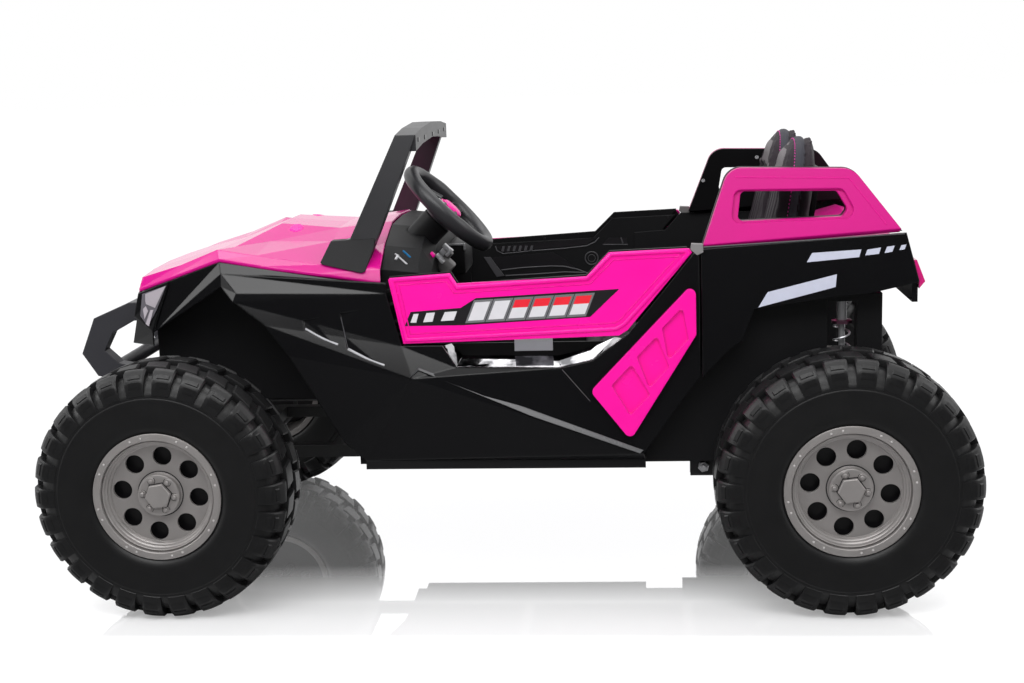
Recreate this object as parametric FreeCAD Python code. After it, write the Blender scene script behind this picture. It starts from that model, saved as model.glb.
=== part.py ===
import FreeCAD, Part

import math
import os

# A children's ride-on dune buggy: faceted plastic body on a steel tube chassis, two seats and four
# balloon tyres.
# Frame: +X forward, +Y to the left, +Z up, origin on the floor under the middle of the wheelbase.

V = FreeCAD.Vector
FULL_TURN = 360.0

# Driving dimensions, in millimetres
WHEELBASE = 1050.0
TRACK = 750.0
TYRE_DIAMETER = 400.0
TYRE_WIDTH = 150.0
BODY_HEIGHT = 550.0
BODY_LEAN = 66.0
BODY_TAPER = 22.0
TYRE_GAP = 14.0
TUB_INSET = 22.0
TUB_HALF_WIDTH = TRACK / 2 - TYRE_WIDTH / 2 - TYRE_GAP
SIDE_HALF_WIDTH = TUB_HALF_WIDTH + TUB_INSET
BODY_HALF_WIDTH = SIDE_HALF_WIDTH + BODY_TAPER
PANEL_WALL = 5.0
PANEL_GAP = 3.0
SEAT_GAP = 0.3
OVERRUN = 20.0
TOUCH = 0.001

# Running gear
RIM_DIAMETER = 200.0
RIM_WIDTH = 142.0
RIM_WALL = 4.0
RIM_DISH = 30.0
RIM_HOLE_DIAMETER = 27.0
RIM_HOLE_CIRCLE = 108.0
RIM_HOLE_COUNT = 8
RIM_RING_WIDTH = 12.0
RIM_GROOVE = 4.0
RIM_LIP = 5.5
BEAD_GRIP = 6.0
HUB_CAP_DIAMETER = 66.0
HUB_CAP_HEIGHT = 12.0
BOLT_CIRCLE = 52.0
BOLT_DIAMETER = 9.0
BOLT_COUNT = 6
CAP_HEX = 36.0
CAP_CHAMFER = 3.0
AXLE_DIAMETER = 16.0
AXLE_FIT = 0.3
KINGPIN_OFFSET = 113.0
KINGPIN_HALF_TRACK = TRACK / 2 - KINGPIN_OFFSET
KINGPIN_DIAMETER = 12.0
KNUCKLE_HEIGHT = 60.0
KNUCKLE_DIAMETER = 30.0
YOKE_PLATE = 6.0
STEER_ARM_LENGTH = 62.0
ROD_DIAMETER = 10.0
ROD_DROP = 14.0

# Chassis
RAIL_SIZE = 20.0
RAIL_HALF_SPACING = 150.0
MOTOR_DIAMETER = 88.0
FLOOR_RISE = 7.0
FLOOR_HEIGHT = TYRE_DIAMETER / 2 + FLOOR_RISE
TUB_WALL = 5.0
TUB_FLOOR_share = FLOOR_HEIGHT / BODY_HEIGHT
TUB_KNEE_share = (TYRE_DIAMETER / 2 + MOTOR_DIAMETER + PANEL_GAP) / BODY_HEIGHT

# Cabin
WHEEL_RIM_DIAMETER = 192.0
WHEEL_GRIP_DIAMETER = 20.0
DRIVER_share = 0.4545
SEAT_WIDTH_share = 0.750
SEAT_PITCH_share = 0.875
DRIVER_OFFSET = TUB_HALF_WIDTH * DRIVER_share
SEAT_WIDTH = TUB_HALF_WIDTH * SEAT_WIDTH_share
SEAT_PITCH = TUB_HALF_WIDTH * SEAT_PITCH_share


def at(x_share, y_share, z_share):
    """A point on the body by its shares of the wheelbase, the half width and the body height."""
    return V(x_share * WHEELBASE, y_share * BODY_HALF_WIDTH, z_share * BODY_HEIGHT)


def side_y(x_share, z_share, proud=0.0):
    """Half width of the leaning body side at a place in the side view."""
    lean = BODY_LEAN * (1 - z_share)
    taper = BODY_TAPER * (x_share + 0.5)
    return SIDE_HALF_WIDTH + lean - taper + proud


def on_side(x_share, z_share, proud=0.0):
    """A point on the leaning body side."""
    return V(x_share * WHEELBASE, side_y(x_share, z_share, proud), z_share * BODY_HEIGHT)


def polygon_face(points):
    return Part.Face(Part.makePolygon(points + [points[0]]))


def facet_panel(corners, facets, offset):
    """A moulded panel: its outer facets, the same facets moved by the offset, and the rim between them."""
    triangles = []
    for facet in facets:
        for k in range(1, len(facet) - 1):
            triangles.append((facet[0], facet[k], facet[k + 1]))
    edges = {}
    for tri in triangles:
        for a, b in ((tri[0], tri[1]), (tri[1], tri[2]), (tri[2], tri[0])):
            if (b, a) in edges:
                del edges[(b, a)]
            else:
                edges[(a, b)] = True
    faces = []
    for tri in triangles:
        faces.append(polygon_face([corners[n] for n in tri]))
        faces.append(polygon_face([corners[n] + offset for n in reversed(tri)]))
    for a, b in edges:
        faces.append(polygon_face([corners[b], corners[a], corners[a] + offset, corners[b] + offset]))
    shell = Part.makeShell(faces)
    shell.sewShape()
    solid = Part.makeSolid(shell)
    if solid.Volume < 0:
        solid.reverse()
    return solid.removeSplitter()


def grid_panel(rows, offset):
    """A moulded panel from rows of points that each run across it."""
    corners = {}
    facets = []
    for i, row in enumerate(rows):
        for j, p in enumerate(row):
            corners[(i, j)] = p
    for i in range(len(rows) - 1):
        for j in range(len(rows[i]) - 1):
            facets.append(((i, j), (i + 1, j), (i + 1, j + 1), (i, j + 1)))
    return facet_panel(corners, facets, offset)


def largest(shape):
    """The main solid of a shape that a cut has left slivers beside."""
    return max(shape.Solids, key=lambda solid: solid.Volume)


def mirrored(shape):
    return shape.mirror(V(0, 0, 0), V(0, 1, 0))


def both_sides(shape):
    return Part.makeCompound([shape, mirrored(shape)])


def block(x0, x1, y0, y1, z0, z1):
    return Part.makeBox(x1 - x0, y1 - y0, z1 - z0, V(x0, y0, z0))


def rod(start, end, diameter):
    axis = end - start
    return Part.makeCylinder(diameter / 2, axis.Length, start, axis)


def extruded(points, direction):
    """A prism: a closed outline moved along a direction."""
    return polygon_face(points).extrude(direction)


def rounded(prism, corners, direction, radius):
    """A prism with the edges that start at some of its corners rounded."""
    edges = []
    for edge in prism.Edges:
        start = edge.Vertexes[0].Point
        end = edge.Vertexes[-1].Point
        along_prism = (end - start).cross(direction).Length < TOUCH
        at_corner = min(min((start - c).Length, (end - c).Length) for c in corners) < TOUCH
        if along_prism and at_corner:
            edges.append(edge)
    return prism.makeFillet(radius, edges)


def rounded_prism(points, direction, radius):
    """A prism with all its long edges rounded."""
    return rounded(extruded(points, direction), points, direction, radius)


def side_prism(outline, y0, y1):
    """A prism across the object from an outline of (x, z) pairs."""
    return extruded([V(x, y0, z) for x, z in outline], V(0, y1 - y0, 0))


def revolved(outline, centre, axis):
    """A ring turned about an axis across the object, from (radius, y) pairs."""
    face = polygon_face([V(centre.x + r, y, centre.z) for r, y in outline])
    return face.revolve(centre, axis, FULL_TURN)


# Wheels

LUG_COUNT = 26
LUG_GAP_share = 0.10
LUG_OFFSET_share = 0.5
BEAD_SET = 4.1
tyre_bulge_share = (0.560, 0.985)
tread_floor_shares = ((0.800, 1.000), (0.910, 0.800), (0.955, 0.160))
tread_lug_shares = ((0.800, 1.000), (0.905, 0.947), (0.985, 0.747), (1.000, 0.187), (0.955, 0.160))


def tyre(centre, side):
    """Balloon tyre: bulged sidewalls and two rows of shoulder lugs, set half a pitch apart."""
    outer = TYRE_DIAMETER / 2
    half = TYRE_WIDTH / 2
    bead = ((RIM_DIAMETER / 2 - BEAD_GRIP) / math.cos(math.pi / LUG_COUNT),
            RIM_WIDTH / 2 - RIM_WALL - BEAD_SET)
    bulge = (tyre_bulge_share[0] * outer, tyre_bulge_share[1] * half)
    floor = [(r * outer, w * half) for r, w in tread_floor_shares]
    lug = [(r * outer, w * half) for r, w in tread_lug_shares]

    def ring_corner(turn):
        angle = 2 * math.pi * turn / LUG_COUNT - math.pi / 2
        return V(math.cos(angle), 0, math.sin(angle))

    def place(row, turn, share, point):
        """A section point at a share of the way along one pitch, on the straight between its corners."""
        first = ring_corner(turn)
        across = ring_corner(turn + 1) - first
        return centre + (first + across * share) * point[0] + V(0, row * side * point[1], 0)

    faces = []
    for row in (1, -1):
        start = 0 if row == 1 else LUG_OFFSET_share
        for k in range(LUG_COUNT):
            turn = k + start
            spans = [(bead, bulge, 0, 1), (floor[0], floor[1], 0, LUG_GAP_share),
                     (floor[1], floor[2], 0, LUG_GAP_share)]
            spans += [(a, b, LUG_GAP_share, 1) for a, b in zip(lug, lug[1:])]
            for a, b, low, high in spans:
                faces.append(polygon_face([place(row, turn, low, a), place(row, turn, high, a),
                                           place(row, turn, high, b), place(row, turn, low, b)]))
            shoulder = [place(row, turn, share, floor[0]) for share in (1, LUG_GAP_share, 0)]
            faces.append(polygon_face([place(row, turn, 0, bulge), place(row, turn, 1, bulge)] + shoulder))
            for share in (LUG_GAP_share, 1):
                faces.append(polygon_face([place(row, turn, share, p) for p in lug + [floor[1]]]))
            apex = turn + LUG_OFFSET_share
            foot = [place(row, turn, share, floor[2]) for share in (0, LUG_GAP_share, 1)]
            faces.append(polygon_face(foot + [place(-row, apex, 0, floor[2])]))
            faces.append(polygon_face([place(row, turn, 0, bead), place(row, turn, 1, bead),
                                       place(-row, apex, 0, bead)]))
    shell = Part.makeShell(faces)
    shell.sewShape()
    solid = Part.makeSolid(shell)
    if solid.Volume < 0:
        solid.reverse()
    return solid


def rim(centre, side):
    """Pressed rim: barrel with flanges, dished face with round holes, hub cap with bolts."""
    flange = RIM_DIAMETER / 2
    half = RIM_WIDTH / 2
    seat = flange - BEAD_GRIP - SEAT_GAP
    inner = seat - RIM_WALL
    hub = AXLE_DIAMETER / 2 + AXLE_FIT
    face_out = half - RIM_DISH
    ring = flange - RIM_RING_WIDTH
    lip = ring - RIM_GROOVE
    dish = lip - 2 * RIM_LIP
    outline = [(inner, -half), (flange, -half), (flange, -half + RIM_WALL), (seat, -half + RIM_WALL)]
    outline += [(seat, half - RIM_WALL), (flange, half - RIM_WALL), (flange, half), (ring, half)]
    outline += [(ring - RIM_GROOVE / 4, half - RIM_GROOVE), (lip + RIM_GROOVE / 4, half - RIM_GROOVE)]
    outline += [(lip, half - RIM_LIP / 4), (lip - RIM_LIP, half - RIM_LIP / 4), (dish, face_out)]
    outline += [(hub, face_out), (hub, face_out - 2 * RIM_WALL), (dish, face_out - 2 * RIM_WALL)]
    outline += [(lip, half - 2 * RIM_GROOVE), (inner, half - 2 * RIM_GROOVE)]
    body = revolved([(r, centre.y + side * y) for r, y in outline], centre, V(0, 1, 0))
    face_y = centre.y + side * face_out
    for k in range(RIM_HOLE_COUNT):
        turn = math.radians(FULL_TURN * (k + 0.5) / RIM_HOLE_COUNT)
        at_hole = V(centre.x + RIM_HOLE_CIRCLE / 2 * math.cos(turn), face_y - side * OVERRUN,
                    centre.z + RIM_HOLE_CIRCLE / 2 * math.sin(turn))
        body = body.cut(rod(at_hole, at_hole + V(0, side * 2 * OVERRUN, 0), RIM_HOLE_DIAMETER))
    cap_start = V(centre.x, face_y, centre.z)
    cap = rod(cap_start, cap_start + V(0, side * HUB_CAP_HEIGHT, 0), HUB_CAP_DIAMETER)
    body = body.fuse(cap)
    for k in range(BOLT_COUNT):
        turn = math.radians(FULL_TURN * k / BOLT_COUNT)
        foot = V(centre.x + BOLT_CIRCLE / 2 * math.cos(turn), face_y + side * HUB_CAP_HEIGHT,
                 centre.z + BOLT_CIRCLE / 2 * math.sin(turn))
        head = V(0, side * RIM_WALL, 0)
        body = body.fuse(rod(foot - head, foot + head, BOLT_DIAMETER))
    wires = []
    cap_top = RIM_WALL + CAP_CHAMFER
    for height, across in ((0, CAP_HEX), (RIM_WALL, CAP_HEX), (cap_top, CAP_HEX - 2 * CAP_CHAMFER)):
        corners = []
        y = face_y + side * (HUB_CAP_HEIGHT + height)
        for k in range(BOLT_COUNT + 1):
            turn = math.radians(FULL_TURN * (k + 0.5) / BOLT_COUNT)
            reach = across / 2
            corners.append(V(centre.x + reach * math.cos(turn), y, centre.z + reach * math.sin(turn)))
        wires.append(Part.makePolygon(corners))
    return body.fuse(Part.makeLoft(wires, True, True)).removeSplitter()


def wheel_centre(x_sign, side):
    return V(x_sign * WHEELBASE / 2, side * TRACK / 2, TYRE_DIAMETER / 2)


# Places that several pieces share
FRONT_X = WHEELBASE / 2
REAR_X = -WHEELBASE / 2
AXLE_HEIGHT = TYRE_DIAMETER / 2
CAP_FACE = TRACK / 2 + RIM_WIDTH / 2 - RIM_DISH
AXLE_END = CAP_FACE - SEAT_GAP


# Body panels

pod_shares = {
    "lamp_top": (0.513, 0.773, 0.922),
    "lamp_foot": (0.543, 0.773, 0.771),
    "peak": (0.433, 0.794, 0.976),
    "shoulder": (0.182, 0.861, 0.905),
    "arch": (0.429, 0.833, 0.907),
    "wedge_top": (0.429, 0.824, 0.944),
    "wedge_low": (0.402, 0.885, 0.891),
    "lip_high": (0.407, 0.897, 0.867),
    "lip_mid": (0.359, 0.933, 0.802),
    "lip_low": (0.322, 0.958, 0.715),
    "lip_foot": (0.241, 0.988, 0.460),
    "toe": (0.210, 0.976, 0.404),
    "crease_front": (0.133, 1.006, 0.647),
    "heel": (-0.212, 0.988, 0.404),
}
pod_side_shares = {
    "door_head": (0.171, 0.915),
    "wedge_tip": (0.172, 0.885),
    "door_foot": (0.150, 0.736),
    "step_front": (0.089, 0.736),
    "step_low_front": (0.068, 0.673),
    "step_low_rear": (-0.087, 0.669),
    "step_knee": (-0.136, 0.689),
    "step_rear": (-0.190, 0.765),
    "pillar_top": (-0.2888, 0.990),
    "seam_top": (-0.294, 0.996),
    "seam_foot": (-0.294, 0.640),
    "arch_front": (-0.268, 0.578),
    "crease_rear": (-0.209, 0.425),
}
pod_facets = (
    ("lamp_foot", "lamp_top", "peak", "wedge_top", "arch"),
    ("wedge_top", "peak", "shoulder", "door_head", "wedge_tip"),
    ("wedge_top", "wedge_tip", "wedge_low"),
    ("arch", "wedge_top", "wedge_low"),
    ("arch", "wedge_low", "lip_high"),
    ("lip_high", "wedge_low", "wedge_tip", "door_foot", "lip_mid"),
    ("lip_mid", "door_foot", "crease_front", "lip_low"),
    ("lip_low", "crease_front", "lip_foot"),
    ("lip_foot", "crease_front", "toe"),
    ("toe", "crease_front", "crease_rear", "heel"),
    ("door_foot", "step_front", "step_low_front", "crease_front"),
    ("crease_front", "step_low_front", "step_low_rear", "crease_rear"),
    ("step_low_rear", "step_knee", "crease_rear"),
    ("crease_rear", "step_knee", "step_rear", "pillar_top", "seam_top", "seam_foot", "arch_front"),
)


def pod_corners():
    corners = {name: at(*shares) for name, shares in pod_shares.items()}
    corners.update({name: on_side(*shares) for name, shares in pod_side_shares.items()})
    return corners


RECESS_DEPTH = 3.0
RECESS_LIP = 0.5
pod_recess_shares = (
    ((0.2988, 0.8115), (0.2971, 0.7853), (0.2477, 0.7409), (0.2606, 0.8236)),
    ((0.2424, 0.8305), (0.2317, 0.7315), (0.1766, 0.6816), (0.2083, 0.8427)),
)


def side_pod():
    """Faceted black side moulding from the headlight back to the seam behind the door."""
    body = facet_panel(pod_corners(), pod_facets, V(0, -PANEL_WALL, 0))
    recesses = []
    for recess in pod_recess_shares:
        floor = {}
        for k, (x_share, z_share) in enumerate(recess):
            x = x_share * WHEELBASE
            z = z_share * BODY_HEIGHT
            skin = Part.makeLine(V(x, 0, z), V(x, TRACK, z)).common(body).BoundBox.YMax
            floor[k] = V(x, skin - RECESS_DEPTH if k < 2 else skin + RECESS_LIP, z)
        recesses.append(facet_panel(floor, (tuple(floor),), V(0, OVERRUN, 0)))
    return body.cut(recesses).removeSplitter()


hood_shares = (
    ((0.586, 0.000, 0.924), (0.581, 0.333, 0.924), (0.570, 0.606, 0.925), (0.561, 0.727, 0.931),
     (0.565, 0.752, 0.898)),
    ((0.505, 0.000, 0.960), (0.505, 0.303, 0.955), (0.502, 0.576, 0.956), (0.499, 0.736, 0.965),
     (0.514, 0.767, 0.931)),
    ((0.436, 0.000, 1.005), (0.436, 0.288, 0.996), (0.436, 0.545, 0.995), (0.437, 0.764, 1.011),
     (0.433, 0.794, 0.985)),
    ((0.373, 0.000, 1.053), (0.373, 0.227, 1.051), (0.376, 0.455, 1.011), (0.376, 0.791, 0.993),
     (0.371, 0.812, 0.965)),
    ((0.276, 0.000, 1.038), (0.276, 0.273, 1.036), (0.276, 0.485, 1.009), (0.276, 0.806, 0.965),
     (0.276, 0.839, 0.940)),
    ((0.187, 0.000, 1.062), (0.187, 0.303, 1.055), (0.185, 0.606, 1.011), (0.183, 0.836, 0.951),
     (0.182, 0.861, 0.915)),
)


def hood_rows():
    """Rows of the bonnet from the left edge over the middle to the right edge."""
    rows = []
    for row in hood_shares:
        left = [at(*p) for p in reversed(row)]
        right = [at(p[0], -p[1], p[2]) for p in row[1:]]
        rows.append(left + right)
    return rows


def hood():
    """Pink bonnet with side flanges and a raised middle, as one folded skin."""
    skin = grid_panel(hood_rows(), V(0, 0, -PANEL_WALL))
    return largest(skin.cut(side_pod()).cut(mirrored(side_pod())))


def under_hood(depth):
    """The space from the bonnet's outer face down, which pieces seated on the bonnet are cut by."""
    return grid_panel(hood_rows(), V(0, 0, -depth))


rear_panel_shares = (
    (-0.297, 0.996), (-0.592, 1.031), (-0.610, 0.896), (-0.537, 0.865), (-0.501, 0.860), (-0.373, 0.827),
    (-0.357, 0.742), (-0.337, 0.716), (-0.297, 0.638),
)


def rear_side_panel():
    """Black panel over the rear wheel, behind the door seam."""
    return extruded([on_side(*p) for p in rear_panel_shares], V(0, -PANEL_WALL, 0))


ROLL_FRAME_LEAN = 45.0
ROLL_SKIN = 20.0
ROLL_BACKING = 14.0
ROLL_STEP = 5.0
ROLL_LAP = 1.0
ROLL_CORNER = 30.0
ROLL_WINDOW_CORNER = 8.0
ROLL_STEP_CORNER = 12.0
ROLL_BEVEL = 6.0
roll_frame_shares = ((-0.299, 0.9970), (-0.3405, 1.2135), (-0.5205, 1.2045), (-0.589, 1.0314))
roll_window_shares = ((-0.351, 1.067), (-0.357, 1.149), (-0.496, 1.145), (-0.511, 1.095), (-0.503, 1.075))


def grown(points_2d, margin):
    """An outline of (x, z) pairs moved out from its middle by a margin."""
    cx = sum(p[0] for p in points_2d) / len(points_2d)
    cz = sum(p[1] for p in points_2d) / len(points_2d)
    out = []
    for x, z in points_2d:
        reach = math.hypot(x - cx, z - cz)
        out.append((cx + (x - cx) * (reach + margin) / reach, cz + (z - cz) * (reach + margin) / reach))
    return out


def roll_frame_point(x, z, inward=0.0):
    """A point of the rear frame's leaning face, moved inward across the object."""
    base = BODY_HEIGHT
    top = roll_frame_shares[1][1] * BODY_HEIGHT
    rise = (z - base) / (top - base)
    return V(x, side_y(x / WHEELBASE, 1.0) - ROLL_FRAME_LEAN * rise - inward, z)


def scaled_pairs(shares):
    return [(x * WHEELBASE, z * BODY_HEIGHT) for x, z in shares]


def roll_frame_blank(margin, inward, depth):
    """The frame's outline with its upper corners rounded, as a plate of one depth."""
    outline = [roll_frame_point(x, z, inward) for x, z in grown(scaled_pairs(roll_frame_shares), margin)]
    across = V(0, -depth, 0)
    return rounded(extruded(outline, across), outline[1:3], across, ROLL_CORNER)


def roll_frame_hole(margin, depth, radius):
    """What is cut from the outer face to a depth, over the window and a margin round it."""
    window = grown(scaled_pairs(roll_window_shares), margin)
    points = [roll_frame_point(x, z, -OVERRUN) for x, z in window]
    return rounded_prism(points, V(0, -OVERRUN - depth, 0), radius)


def roll_frame():
    """Pink outer frame beside the seat backs: a bevelled edge and a stepped window."""
    body = roll_frame_blank(0, 0, ROLL_SKIN)
    outer_face = max(body.Faces, key=lambda face: face.CenterOfMass.y)
    foot = min(outer_face.Edges, key=lambda edge: edge.CenterOfMass.z)
    body = body.makeChamfer(ROLL_BEVEL, [edge for edge in outer_face.Edges if not edge.isSame(foot)])
    body = body.cut(roll_frame_hole(0, ROLL_SKIN + OVERRUN, ROLL_WINDOW_CORNER))
    return body.cut(roll_frame_hole(ROLL_SKIN / 2, ROLL_STEP, ROLL_STEP_CORNER))


def roll_frame_backing():
    """Black inner half of the rear frame."""
    body = roll_frame_blank(ROLL_LAP, ROLL_SKIN + SEAT_GAP, ROLL_BACKING)
    return body.cut(roll_frame_hole(0, ROLL_SKIN + ROLL_BACKING + OVERRUN, ROLL_WINDOW_CORNER))


INSERT_PROUD = 7.0
INSERT_POCKET = 5.0
INSERT_CORNER = 9.0
POCKET_CORNER = 4.0
insert_shares = ((-0.2885, 0.911), (-0.2885, 0.760), (-0.190, 0.466), (-0.132, 0.604))
pocket_spots_share = (0.24, 0.50, 0.76)
POCKET_LENGTH_share = 0.095
POCKET_HEIGHT_share = 0.30


def side_insert():
    """Pink kite-shaped plate behind the door with three pockets in a slanted row."""
    outer = [on_side(x, z, INSERT_PROUD) for x, z in insert_shares]
    plate = rounded_prism(outer, V(0, -INSERT_PROUD, 0), INSERT_CORNER)
    a, b, c, d = outer
    for spot in pocket_spots_share:
        low = d + (a - d) * spot
        far = c + (b - c) * spot
        middle = (low + far) / 2
        along = (a - d) * POCKET_LENGTH_share
        across = (far - low) * POCKET_HEIGHT_share
        hole = [middle - along - across, middle + along - across, middle + along + across,
                middle - along + across]
        lifted = [p + V(0, OVERRUN, 0) for p in hole]
        plate = plate.cut(rounded_prism(lifted, V(0, -OVERRUN - INSERT_POCKET, 0), POCKET_CORNER))
    return plate


TRIM_WALL = 4.0
trim_outer_shares = (
    (0.0885, 0.734), (0.0675, 0.6745), (-0.0868, 0.6705), (-0.1355, 0.6905), (-0.180, 0.750),
)
trim_inner_shares = (
    (0.077, 0.734), (0.061, 0.6975), (-0.083, 0.6935), (-0.130, 0.712), (-0.167, 0.744),
)


def step_trim():
    """Bright ledge round the foot recess under the door, from the moulding in to the tub's wall."""
    outer = [on_side(x, z, -1 * SEAT_GAP) for x, z in trim_outer_shares]
    inner_y = TUB_HALF_WIDTH + SEAT_GAP + TRIM_WALL
    inner = [V(x * WHEELBASE, inner_y, z * BODY_HEIGHT) for x, z in trim_inner_shares]
    return grid_panel([outer, inner], V(0, -TRIM_WALL, 0)).cut(side_pod())


SILL_HEIGHT = 14.0


def sill_strips():
    """Matte strip under each side moulding, from its lower edge in to the tub."""
    corners = pod_corners()
    toe = corners["toe"]
    heel = corners["heel"]
    top = toe.z - SEAT_GAP
    outline = [V(toe.x, toe.y, top), V(heel.x, heel.y, top), V(heel.x, TUB_HALF_WIDTH + SEAT_GAP, top),
               V(toe.x, TUB_HALF_WIDTH + SEAT_GAP, top)]
    return both_sides(extruded(outline, V(0, 0, -SILL_HEIGHT)))


# Doors

door_shares = (
    (0.168, 0.925), (0.076, 0.940), (0.065, 0.911), (-0.128, 0.924), (-0.162, 0.991), (-0.280, 0.998),
    (-0.284, 0.987), (-0.188, 0.773), (-0.175, 0.758), (0.147, 0.742),
)
DOOR_SKIN = 4.0
DOOR_TRIM_DEPTH = 40.0
DOOR_HINGE_INSET = 7.0
HINGE_PIN_DIAMETER = 5.0
HINGE_LUG_DIAMETER = 10.0
HINGE_LUG_LENGTH = 16.0
HINGE_EAR = 5.0
HINGE_WEB_share = 0.7
HINGE_ARM_DEPTH = 15.0
HINGE_ARM_WALL = 6.0
HINGE_ARM_REACH = 28.0
HINGE_PLATE = 7.0
hinge_lug_shares = (0.26, 0.74)


def hinge_line():
    """The door's hinge axis, from its foot to its head: along the slanted front edge, inside the skin."""
    foot_x, foot_z = door_shares[-1]
    head_x, head_z = door_shares[0]
    foot = on_side(foot_x, foot_z, -DOOR_HINGE_INSET)
    head = on_side(head_x, head_z, -DOOR_HINGE_INSET)
    back = V(-DOOR_HINGE_INSET, 0, 0)
    return foot + back, head + back


def along_hinge(share, shift=0.0):
    foot, head = hinge_line()
    axis = head - foot
    return foot + axis * share + axis * (shift / axis.Length)


def hinge_frame():
    """Directions square to the hinge axis: forward and outward."""
    foot, head = hinge_line()
    axis = (head - foot).normalize()
    forward = V(1, 0, 0) - axis * axis.x
    forward.normalize()
    return forward, axis.cross(forward)


def hinge_clearance():
    """The round space that each hinge lug turns in."""
    spaces = []
    for share in hinge_lug_shares:
        reach = HINGE_LUG_LENGTH / 2 + HINGE_EAR + 2 * SEAT_GAP
        low = along_hinge(share, -reach)
        high = along_hinge(share, reach)
        spaces.append(rod(low, high, HINGE_LUG_DIAMETER + 2 * SEAT_GAP + PANEL_GAP))
    return spaces


def door_shell():
    """Pink door skin, with the hinge lugs on its front edge."""
    skin = extruded([on_side(*p) for p in door_shares], V(0, -DOOR_SKIN, 0))
    for space in hinge_clearance():
        skin = skin.cut(space)
    for share in hinge_lug_shares:
        low = along_hinge(share, -HINGE_LUG_LENGTH / 2)
        high = along_hinge(share, HINGE_LUG_LENGTH / 2)
        lug = rod(low, high, HINGE_LUG_DIAMETER)
        web_end = V(-3 * DOOR_HINGE_INSET, 0, 0)
        axis = (high - low) * HINGE_WEB_share
        web_foot = low + (high - low - axis) * 0.5 + V(0, HINGE_LUG_DIAMETER / 2 - DOOR_SKIN, 0)
        web = extruded([web_foot, web_foot + axis, web_foot + axis + web_end, web_foot + web_end],
                       V(0, DOOR_SKIN, 0))
        lug = lug.fuse(web)
        bore = rod(along_hinge(share, -HINGE_LUG_LENGTH), along_hinge(share, HINGE_LUG_LENGTH),
                   HINGE_PIN_DIAMETER + 2 * SEAT_GAP)
        skin = skin.fuse(lug).cut(bore)
    return skin.removeSplitter()


door_trim_shares = (
    (0.140, 0.905), (0.082, 0.918), (0.071, 0.894), (-0.125, 0.907), (-0.160, 0.975), (-0.274, 0.982),
    (-0.186, 0.790), (-0.170, 0.772), (0.128, 0.760),
)


def door_trim():
    """Black inner half of the door, flat on the cabin side and set against the skin."""
    outer = extruded([on_side(x, z, -DOOR_SKIN) for x, z in door_trim_shares], V(0, -DOOR_TRIM_DEPTH, 0))
    inner_face = TUB_HALF_WIDTH + 2 * PANEL_GAP / 3
    keep = block(-WHEELBASE / 2, WHEELBASE / 2, inner_face, BODY_HALF_WIDTH, 0, 2 * BODY_HEIGHT)
    body = outer.common(keep)
    for space in hinge_clearance():
        body = body.cut(space)
    return body.cut(door_shell()).removeSplitter()


def door_hinges():
    """Hinge brackets inside each side moulding: a plate, two ears and a pin at each lug."""
    pieces = []
    for share in hinge_lug_shares:
        reach = HINGE_LUG_LENGTH / 2 + SEAT_GAP
        ear_reach = reach + HINGE_EAR
        pin = rod(along_hinge(share, -ear_reach), along_hinge(share, ear_reach), HINGE_PIN_DIAMETER)
        bracket = pin
        half = HINGE_LUG_DIAMETER / 2
        forward, outward = hinge_frame()
        for sign in (-1, 1):
            near = along_hinge(share, sign * reach)
            far = along_hinge(share, sign * ear_reach)
            across = far - near
            ear = rod(near, far, HINGE_LUG_DIAMETER)
            arm = [(half, 0), (half, HINGE_ARM_WALL - HINGE_ARM_DEPTH),
                   (HINGE_ARM_REACH, HINGE_ARM_WALL - HINGE_ARM_DEPTH), (HINGE_ARM_REACH, -HINGE_ARM_DEPTH),
                   (-half, -HINGE_ARM_DEPTH), (-half, 0)]
            bracket = bracket.fuse(ear).fuse(extruded([near + forward * x + outward * y for x, y in arm],
                                                        across))
        foot = along_hinge(share, -ear_reach)
        plate = [(HINGE_ARM_REACH - HINGE_PLATE, -HINGE_ARM_DEPTH), (HINGE_ARM_REACH, -HINGE_ARM_DEPTH),
                 (HINGE_ARM_REACH, half), (HINGE_ARM_REACH - HINGE_PLATE, half)]
        axis = along_hinge(share, ear_reach) - foot
        bracket = bracket.fuse(extruded([foot + forward * x + outward * y for x, y in plate], axis))
        pieces.append(bracket)
    pod = side_pod()
    left = [piece.cut(pod).removeSplitter() for piece in pieces]
    return both_sides(Part.makeCompound(left))


# Front end

FASCIA_WALL = 4.0
fascia_shares = (
    ((0.583, 0.00, 0.905), (0.578, 0.36, 0.905), (0.569, 0.60, 0.900), (0.563, 0.745, 0.885)),
    ((0.592, 0.00, 0.820), (0.588, 0.36, 0.820), (0.581, 0.58, 0.818), (0.574, 0.725, 0.815)),
    ((0.602, 0.00, 0.732), (0.600, 0.36, 0.732), (0.596, 0.55, 0.731), (0.588, 0.680, 0.729)),
)
GRILLE_SLOT_HEIGHT = 9.0
GRILLE_SLOT_PITCH = 18.0
GRILLE_SLOT_COUNT = 3
GRILLE_HALF_WIDTH = 70.0


def fascia_rows():
    rows = []
    for row in fascia_shares:
        left = [at(*p) for p in reversed(row)]
        right = [at(p[0], -p[1], p[2]) for p in row[1:]]
        rows.append(left + right)
    return rows


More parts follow.
